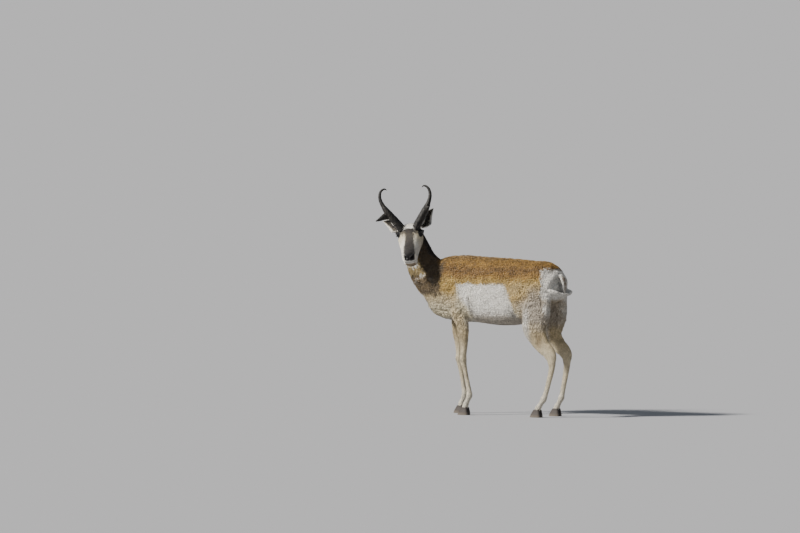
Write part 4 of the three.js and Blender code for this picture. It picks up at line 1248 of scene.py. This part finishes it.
def build_crown():
    """The pale tuft between the horns, falling forward over the brow and standing up beside each horn."""
    draw = np.random.default_rng(60)
    n = CROWN_TUFTS
    x, y = draw.uniform(-58, -10, n), draw.uniform(-30, 30, n)
    flat = np.zeros(n)
    ring = refined(HEAD_RINGS, 8)
    z = np.interp(x, ring[:, 0], ring[:, 1]) - 2.5 - 0.006 * y**2 * (1 + 0.5 * np.abs(y) / 26)
    out = unit(np.stack([flat + 0.1, 0.012 * y, flat + 1], 1)) @ HEAD.T
    lie = np.stack([flat + 1, 0.02 * y, flat - 0.1], 1) @ HEAD.T
    colours = linear(WHITE) * draw.uniform(0.7, 1.1, n)[:, None]
    chart = np.stack([0.5 + y / 60, 0.5 + (x + 28) / 70], 1)
    length = 22 * draw.uniform(0.7, 1.2, n) * (1 - 0.5 * smooth(-20, 4, x))
    beside = smooth(10, 24, np.abs(y))
    sizes = (length * (0.7 + 0.4 * beside), 2.8, 1.0, 2.5 + 11 * beside * draw.random(n))
    return tufts("coat_crown", in_head(np.stack([x, y, z], 1)), out, lie, sizes, colours, chart, 61)


def ear_hair_colours(u, edge, pale):
    """Inside: white at the rim, black in the hollow. Outside: tan, darker to the tip, with a white rim."""
    if pale:
        hollow = fall(0.45, 0.8, edge) * smooth(0.25, 0.45, u)
        return painted(CREAM, [(WHITE, smooth(0.5, 0.9, edge)), (BLACK, 0.8 * hollow)])
    rim = 0.9 * smooth(0.82, 0.95, edge)
    return painted(EAR_TAN, [(NAPE_BROWN, 0.8 * smooth(0.7, 0.95, u)), (WHITE, rim)])


def build_ear_hair(side, word):
    """Short hair over the ear's back, and pale hair inside its edges."""
    rows, columns = 60, 40
    draw = np.random.default_rng(70 + side)
    root, point, opening, across = ear_axes(side)
    centre = root + point * (EAR_LENGTH * np.linspace(0, 1, rows))[:, None]
    pieces = []
    for place, (inset, sign, n, longest) in EAR_HAIR.items():
        pale = place == "inner"
        sheet = ear_sheet(side, inset, rows, columns)
        normal = unit(np.cross(np.gradient(sheet, axis=1), np.gradient(sheet, axis=0)))
        away = unit(sheet - (centre + opening * 12)[:, None])
        normal = normal * np.sign((normal * away).sum(-1, keepdims=True)) * sign
        i, j = draw.integers(4, rows - 1, n), draw.integers(0, columns, n)
        middle = (columns - 1) / 2
        edge = np.abs(j - middle) / middle
        if pale:
            keep = draw.random(n) < 0.15 + 0.85 * smooth(0.45, 0.95, edge)
            i, j, edge = i[keep], j[keep], edge[keep]
        u = i / (rows - 1)
        colours = ear_hair_colours(u, edge, pale) * draw.uniform(0.8, 1.2, len(i))[:, None]
        lie = point + across * (0.5 * np.sign(middle - j) * pale)[:, None]
        chart = np.stack([0.02 + 0.96 * j / (columns - 1), 0.02 + 0.96 * u], 1)
        length = longest * draw.uniform(0.7, 1.2, len(i)) * (1 - 0.5 * u)
        sizes = (length, 2.0, 0.5, 0.12 * length)
        name = f"coat_ear_{place}_{word}"
        pieces.append(tufts(name, sheet[i, j], normal[i, j], lie, sizes, colours, chart, 72 + side, 0.4))
    return pieces


def build_lashes(side, word):
    """Long dark lashes fanned along the upper lid."""
    draw = np.random.default_rng(80 + side)
    axes = eye_axes(side)
    n = LASH_COUNT
    u = draw.uniform(-0.92, 0.95, n)
    v = UPPER_LID * (1 - np.abs(u) ** 2.2) + 0.09
    a, b = u * EYE_RADIUS * SLIT, v * EYE_RADIUS * SLIT
    c = np.sqrt(np.maximum((EYE_RADIUS + 2.2) ** 2 - a**2 - b**2, 1))
    roots = in_head(np.stack([a, b, c], 1) @ axes.T + on_side(EYE_SEAT, side))
    turned = axes.T @ HEAD.T
    out = unit(np.stack([0.2 * u, 0.9 + 0 * u, 0.8 + 0 * u], 1)) @ turned
    lie = unit(np.stack([0.35 * u, -0.25 + 0 * u, 1 + 0 * u], 1)) @ turned
    colours = np.tile(linear(BLACK), (n, 1))
    chart = np.stack([0.5 + 0.45 * u, np.full(n, 0.5)], 1)
    sizes = (draw.uniform(8, 13, n), 0.7, 0.4, 2.2)
    return tufts(f"lashes_{word}", roots, out, lie, sizes, colours, chart, 82 + side, 0.6)


# Materials


class Socket:
    """A node's output with arithmetic: each operator adds one Math node."""

    def __init__(self, graph, link):
        self.graph, self.link = graph, link

    def maths(self, operation, other, swapped=False):
        """One Math node on this value and another."""
        pair = (other, self) if swapped else (self, other)
        node = self.graph.node("ShaderNodeMath", {"operation": operation}, {0: pair[0], 1: pair[1]})
        return Socket(self.graph, node.outputs[0])

    def __add__(self, other):
        return self.maths("ADD", other)

    __radd__ = __add__

    def __mul__(self, other):
        return self.maths("MULTIPLY", other)

    __rmul__ = __mul__

    def __sub__(self, other):
        return self.maths("SUBTRACT", other)

    def __rsub__(self, other):
        return self.maths("SUBTRACT", other, True)


class Finish:
    """One material: a Principled shader and the nodes that feed it."""

    def __init__(self, name, roughness, **constants):
        self.material = bpy.data.materials.new(name)
        self.material.use_nodes = True
        self.tree = self.material.node_tree
        self.shader = self.tree.nodes["Principled BSDF"]
        self.shader.inputs["Roughness"].default_value = roughness
        for socket, value in constants.items():
            self.shader.inputs[socket.replace("_", " ")].default_value = value

    def node(self, kind, settings=None, sockets=None):
        """Adds a node, sets its settings, then fills its sockets with values or links."""
        made = self.tree.nodes.new(kind)
        for key, value in (settings or {}).items():
            if key == "stops":
                ramp = made.color_ramp
                for k, (place, colour) in enumerate(value):
                    stop = ramp.elements[k] if k < len(ramp.elements) else ramp.elements.new(place)
                    stop.position, stop.color = place, (*colour, 1)
            else:
                setattr(made, key, value)
        for key, value in (sockets or {}).items():
            if isinstance(value, Socket):
                self.tree.links.new(value.link, made.inputs[key])
            elif isinstance(value, bpy.types.NodeSocket):
                self.tree.links.new(value, made.inputs[key])
            else:
                made.inputs[key].default_value = value
        return made

    def value(self, node, output=0):
        """A node's output as a Socket."""
        return Socket(self, node.outputs[output])

    def place(self):
        """Object coordinates."""
        return self.node("ShaderNodeTexCoord").outputs["Object"]

    def noise(self, scale, detail=2.0, stretch=None):
        """Noise on object coordinates, drawn out by `stretch` where one is given."""
        vector = self.place()
        if stretch:
            vector = self.node("ShaderNodeMapping", {}, {"Vector": vector, "Scale": stretch}).outputs[0]
        made = self.node("ShaderNodeTexNoise", {}, {"Vector": vector, "Scale": scale, "Detail": detail})
        return self.value(made)

    def mixed(self, factor, first, second, blend="MIX"):
        """Two colours mixed by a factor."""
        made = self.node("ShaderNodeMix", {"data_type": "RGBA", "blend_type": blend})
        for key, value in (("Factor_Float", factor), ("A_Color", first), ("B_Color", second)):
            socket = next(s for s in made.inputs if s.identifier == key)
            if isinstance(value, (Socket, bpy.types.NodeSocket)):
                self.tree.links.new(value.link if isinstance(value, Socket) else value, socket)
            else:
                socket.default_value = value
        return next(s for s in made.outputs if s.identifier == "Result_Color")

    def feed(self, socket, source):
        """Links a source to the shader."""
        link = source.link if isinstance(source, Socket) else source
        self.tree.links.new(link, self.shader.inputs[socket])

    def bump(self, height, strength, distance):
        """Bump from a height, in metres."""
        sockets = {"Strength": strength, "Distance": distance, "Height": height}
        made = self.node("ShaderNodeBump", {}, sockets)
        self.feed("Normal", made.outputs[0])


def hair_finish():
    """Hair: the tuft's own colour, flecked finely lighter and darker."""
    f = Finish("hair", 0.72, Sheen_Weight=0.12, Sheen_Roughness=0.5, Specular_IOR_Level=0.3)
    own = f.node("ShaderNodeAttribute", {"attribute_name": "coat_colour"}).outputs["Color"]
    fleck = f.noise(420.0, 2.0)
    pale = f.mixed(fleck * 0.5, own, (1.0, 0.97, 0.9, 1), "MULTIPLY")
    deep = f.mixed((1.0 - fleck) * 0.35, pale, (0.45, 0.38, 0.32, 1), "MULTIPLY")
    f.feed("Base Color", deep)
    return f.material


def skin_finish():
    """Skin under the hair: the same markings, a shade darker, with the grain of close short hair."""
    f = Finish("short_coat", 0.78, Sheen_Weight=0.1, Specular_IOR_Level=0.25)
    own = f.node("ShaderNodeAttribute", {"attribute_name": "coat_colour"}).outputs["Color"]
    grain = f.noise(520.0, 3.0)
    coarse = f.noise(90.0, 2.0)
    deep = f.mixed(grain * 0.45, own, (0.5, 0.43, 0.37, 1), "MULTIPLY")
    f.feed("Base Color", deep)
    f.bump(grain * 0.7 + coarse * 0.5, 0.55, 0.0016)
    return f.material


def horn_finish():
    """Horn: near-black, streaked paler along its fibres, its roughness varying finely."""
    f = Finish("horn", 0.5, Specular_IOR_Level=0.25)
    fibre = f.noise(60.0, 4.0, stretch=(3.0, 3.0, 0.5))
    fine = f.noise(330.0, 3.0)
    streak = f.node("ShaderNodeValToRGB", {"stops": [
        (0.35, (0.006, 0.0055, 0.005)), (0.55, (0.018, 0.016, 0.014)), (0.78, (0.075, 0.066, 0.055)),
    ]}, {0: fibre})
    f.feed("Base Color", streak.outputs[0])
    f.feed("Roughness", 0.46 + fine * 0.3)
    f.bump(fibre * 0.8 + fine * 0.4, 0.8, 0.0022)
    return f.material


def hoof_finish():
    """Claw horn: dark, with faint growth rings and dust near the ground."""
    f = Finish("claw_horn", 0.5)
    grain = f.noise(140.0, 3.0, stretch=(1, 1, 4.0))
    dust = f.node("ShaderNodeSeparateXYZ", {}, {0: f.place()}).outputs["Z"]
    low = f.node("ShaderNodeMapRange", {}, {"Value": dust, 1: 0.0, 2: 0.02, 3: 1.0, 4: 0.0})
    dark = f.mixed(grain * 0.6, (0.018, 0.014, 0.012, 1), (0.09, 0.07, 0.055, 1))
    f.feed("Base Color", f.mixed(f.value(low) * 0.35, dark, (0.30, 0.25, 0.19, 1)))
    f.bump(grain, 0.5, 0.0008)
    return f.material


def eye_finish():
    """Eye: a wet, almost black ball, faintly brown, under a clear coat."""
    f = Finish("eye", 0.08, Coat_Weight=1.0, Coat_Roughness=0.02, Specular_IOR_Level=0.6)
    cloud = f.noise(240.0, 2.0)
    f.feed("Base Color", f.mixed(cloud, (0.010, 0.006, 0.004, 1), (0.040, 0.020, 0.010, 1)))
    return f.material


def nose_finish():
    """Bare wet leather of the nose and lid rims, finely pebbled."""
    f = Finish("nose_leather", 0.45, Specular_IOR_Level=0.25)
    cells = f.node("ShaderNodeTexVoronoi", {}, {"Vector": f.place(), "Scale": 900.0})
    f.feed("Base Color", f.mixed(f.value(cells), (0.004, 0.0035, 0.0035, 1), (0.014, 0.012, 0.012, 1)))
    f.bump(f.value(cells), 0.5, 0.0006)
    return f.material


def floor_finish():
    """Plain grey studio floor."""
    f = Finish("floor", 0.9)
    f.shader.inputs["Base Color"].default_value = (0.30, 0.30, 0.31, 1)
    return f.material


# Stage and camera


def set_camera():
    """A long lens on the photograph's line of sight, centred on the same point of the animal."""
    a, e = math.radians(CAMERA_AZIMUTH), math.radians(CAMERA_ELEVATION)
    back = Vector((math.sin(a) * math.cos(e), -math.cos(a) * math.cos(e), math.sin(e)))
    right = Vector((math.cos(a), math.sin(a), 0))
    up = back.cross(right)
    across = (PHOTO_SIZE[0] / 2 - ORIGIN_IN_PHOTO[0]) / PHOTO_SCALE
    rise = (ORIGIN_IN_PHOTO[1] - PHOTO_SIZE[1] / 2) / PHOTO_SCALE
    aim = right * across + up * rise - Vector(FOOTPRINT_MIDDLE * MM)
    camera = placed("camera", bpy.data.cameras.new("camera"))
    camera.data.sensor_width = 36.0
    camera.data.lens = 36.0 * CAMERA_DISTANCE * PHOTO_SCALE / PHOTO_SIZE[0]
    camera.data.clip_start, camera.data.clip_end = 1.0, 2000.0
    camera.location = aim + back * CAMERA_DISTANCE
    camera.rotation_mode = "QUATERNION"
    camera.rotation_quaternion = (-back).to_track_quat("-Z", "Y")
    bpy.context.scene.camera = camera


def set_stage():
    """A wide floor, one broad soft sun from the camera's upper left, and an even sky."""
    mesh = bpy.data.meshes.new("floor")
    corners = [(FLOOR_HALF * x, FLOOR_HALF * y, 0) for x, y in ((-1, -1), (1, -1), (1, 1), (-1, 1))]
    mesh.from_pydata(corners, [], [(0, 1, 2, 3)])
    mesh.materials.append(floor_finish())
    placed("floor", mesh)
    lamp = bpy.data.lights.new("key", "SUN")
    lamp.energy, lamp.angle, lamp.color = SUN_STRENGTH, SUN_WIDTH, (1.0, 0.97, 0.92)
    key = placed("key", lamp)
    key.rotation_mode = "QUATERNION"
    key.rotation_quaternion = Vector(SUN_WAY).to_track_quat("Z", "Y")
    world = bpy.data.worlds.new("sky")
    world.use_nodes = True
    world.node_tree.nodes["Background"].inputs[0].default_value = (0.80, 0.88, 1.0, 1)
    world.node_tree.nodes["Background"].inputs[1].default_value = SKY_STRENGTH
    bpy.context.scene.world = world


# Dressing


def finish_piece(piece, nodes):
    """Rides the piece on the one body and the nodes it stands for."""
    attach(piece, "root")
    if nodes:
        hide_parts(*nodes)


def build_ears():
    """Both ears as thin leaves, tan outside, dark within and white along the rim."""
    ears = []
    for word, side in SIDES:
        ear = mesh_object(f"ear_{word}_leaf", *ear_mesh(side))
        count = len(ear.data.vertices)
        half = (count - 2) // EAR_ROWS // 2
        column = np.arange(count) % (2 * half)
        colours = np.tile(linear(EAR_TAN) * 0.6, (count, 1))
        colours[column >= half] = linear(EAR_HOLLOW)
        from_rim = np.minimum(column % half, half - 1 - column % half)
        colours[from_rim < 4] = linear(WHITE) * 0.85
        set_colours(ear.data, colours)
        ears.append(ear)
    return ears


def build_claws():
    """Two claws on each foot."""
    finish = hoof_finish()
    for leg, spine in LEG_SPINES.items():
        for word, side in SIDES:
            claw = mesh_object(f"{leg}_hoof_{word}", *closed_grid(claw_grid(spine[-1], side)))
            claw.data.materials.append(finish)
            finish_piece(claw, [f"{leg}_claw_{word}"])


def give_nose(mesh):
    """The nose pad, the lid rims and the sockets take the bare leather, the last material."""
    middles = np.empty(len(mesh.polygons) * 3)
    mesh.polygons.foreach_get("center", middles)
    local = to_head(middles.reshape(-1, 3) / MM + FOOTPRINT_MIDDLE)
    pad = (local[:, 0] > NOSE_BACK) & (local[:, 2] > NOSE_LOW) & (local[:, 2] < 12)
    pad &= np.abs(local[:, 1] - BLAZE_MIDDLE) < 28
    for side in (1, -1):
        pad |= apart(local, on_side(EYE_SEAT, side)) < EYE_RADIUS + 0.9
    slots = np.where(pad, len(mesh.materials) - 1, 0).astype(np.int32)
    mesh.polygons.foreach_set("material_index", slots)


def dress():
    """Builds every piece, gives it its finish, and says what it replaces."""
    hair, bare = hair_finish(), skin_finish()
    skin = build_skin()
    points = points_of(skin.data)
    set_colours(skin.data, markings(points, all_shares(points, 8)) * 0.8)
    coat = build_coat(skin)
    leaves = [skin, *build_ears()]
    for part in leaves:
        part.data.materials.append(bare)
    with bpy.context.temp_override(active_object=skin, selected_editable_objects=leaves):
        bpy.ops.object.join()
    skin.data.materials.append(nose_finish())
    give_nose(skin.data)
    for word, side in SIDES:
        coat += build_ear_hair(side, word)
        coat.append(build_lashes(side, word))
        horn = build_horn(side, word)
        horn.data.materials.append(horn_finish())
        finish_piece(horn, [f"horn_{word}"])
        eye = mesh_object(f"eyeball_{word}", *eye_mesh(side))
        eye.data.materials.append(eye_finish())
        finish_piece(eye, [f"eye_{word}"])
    coat += [build_mane(), build_crown()]
    for piece in coat:
        piece.data.materials.append(hair)
        finish_piece(piece, [])
    build_claws()
    flesh = ["torso", "rump", "neck_upper", "neck_lower", "head", "tail", "ear_left", "ear_right"]
    for leg in LEG_SPINES:
        flesh += [f"{leg}_upper", f"{leg}_lower"]
    finish_piece(skin, flesh)


set_camera()
set_stage()
dress()
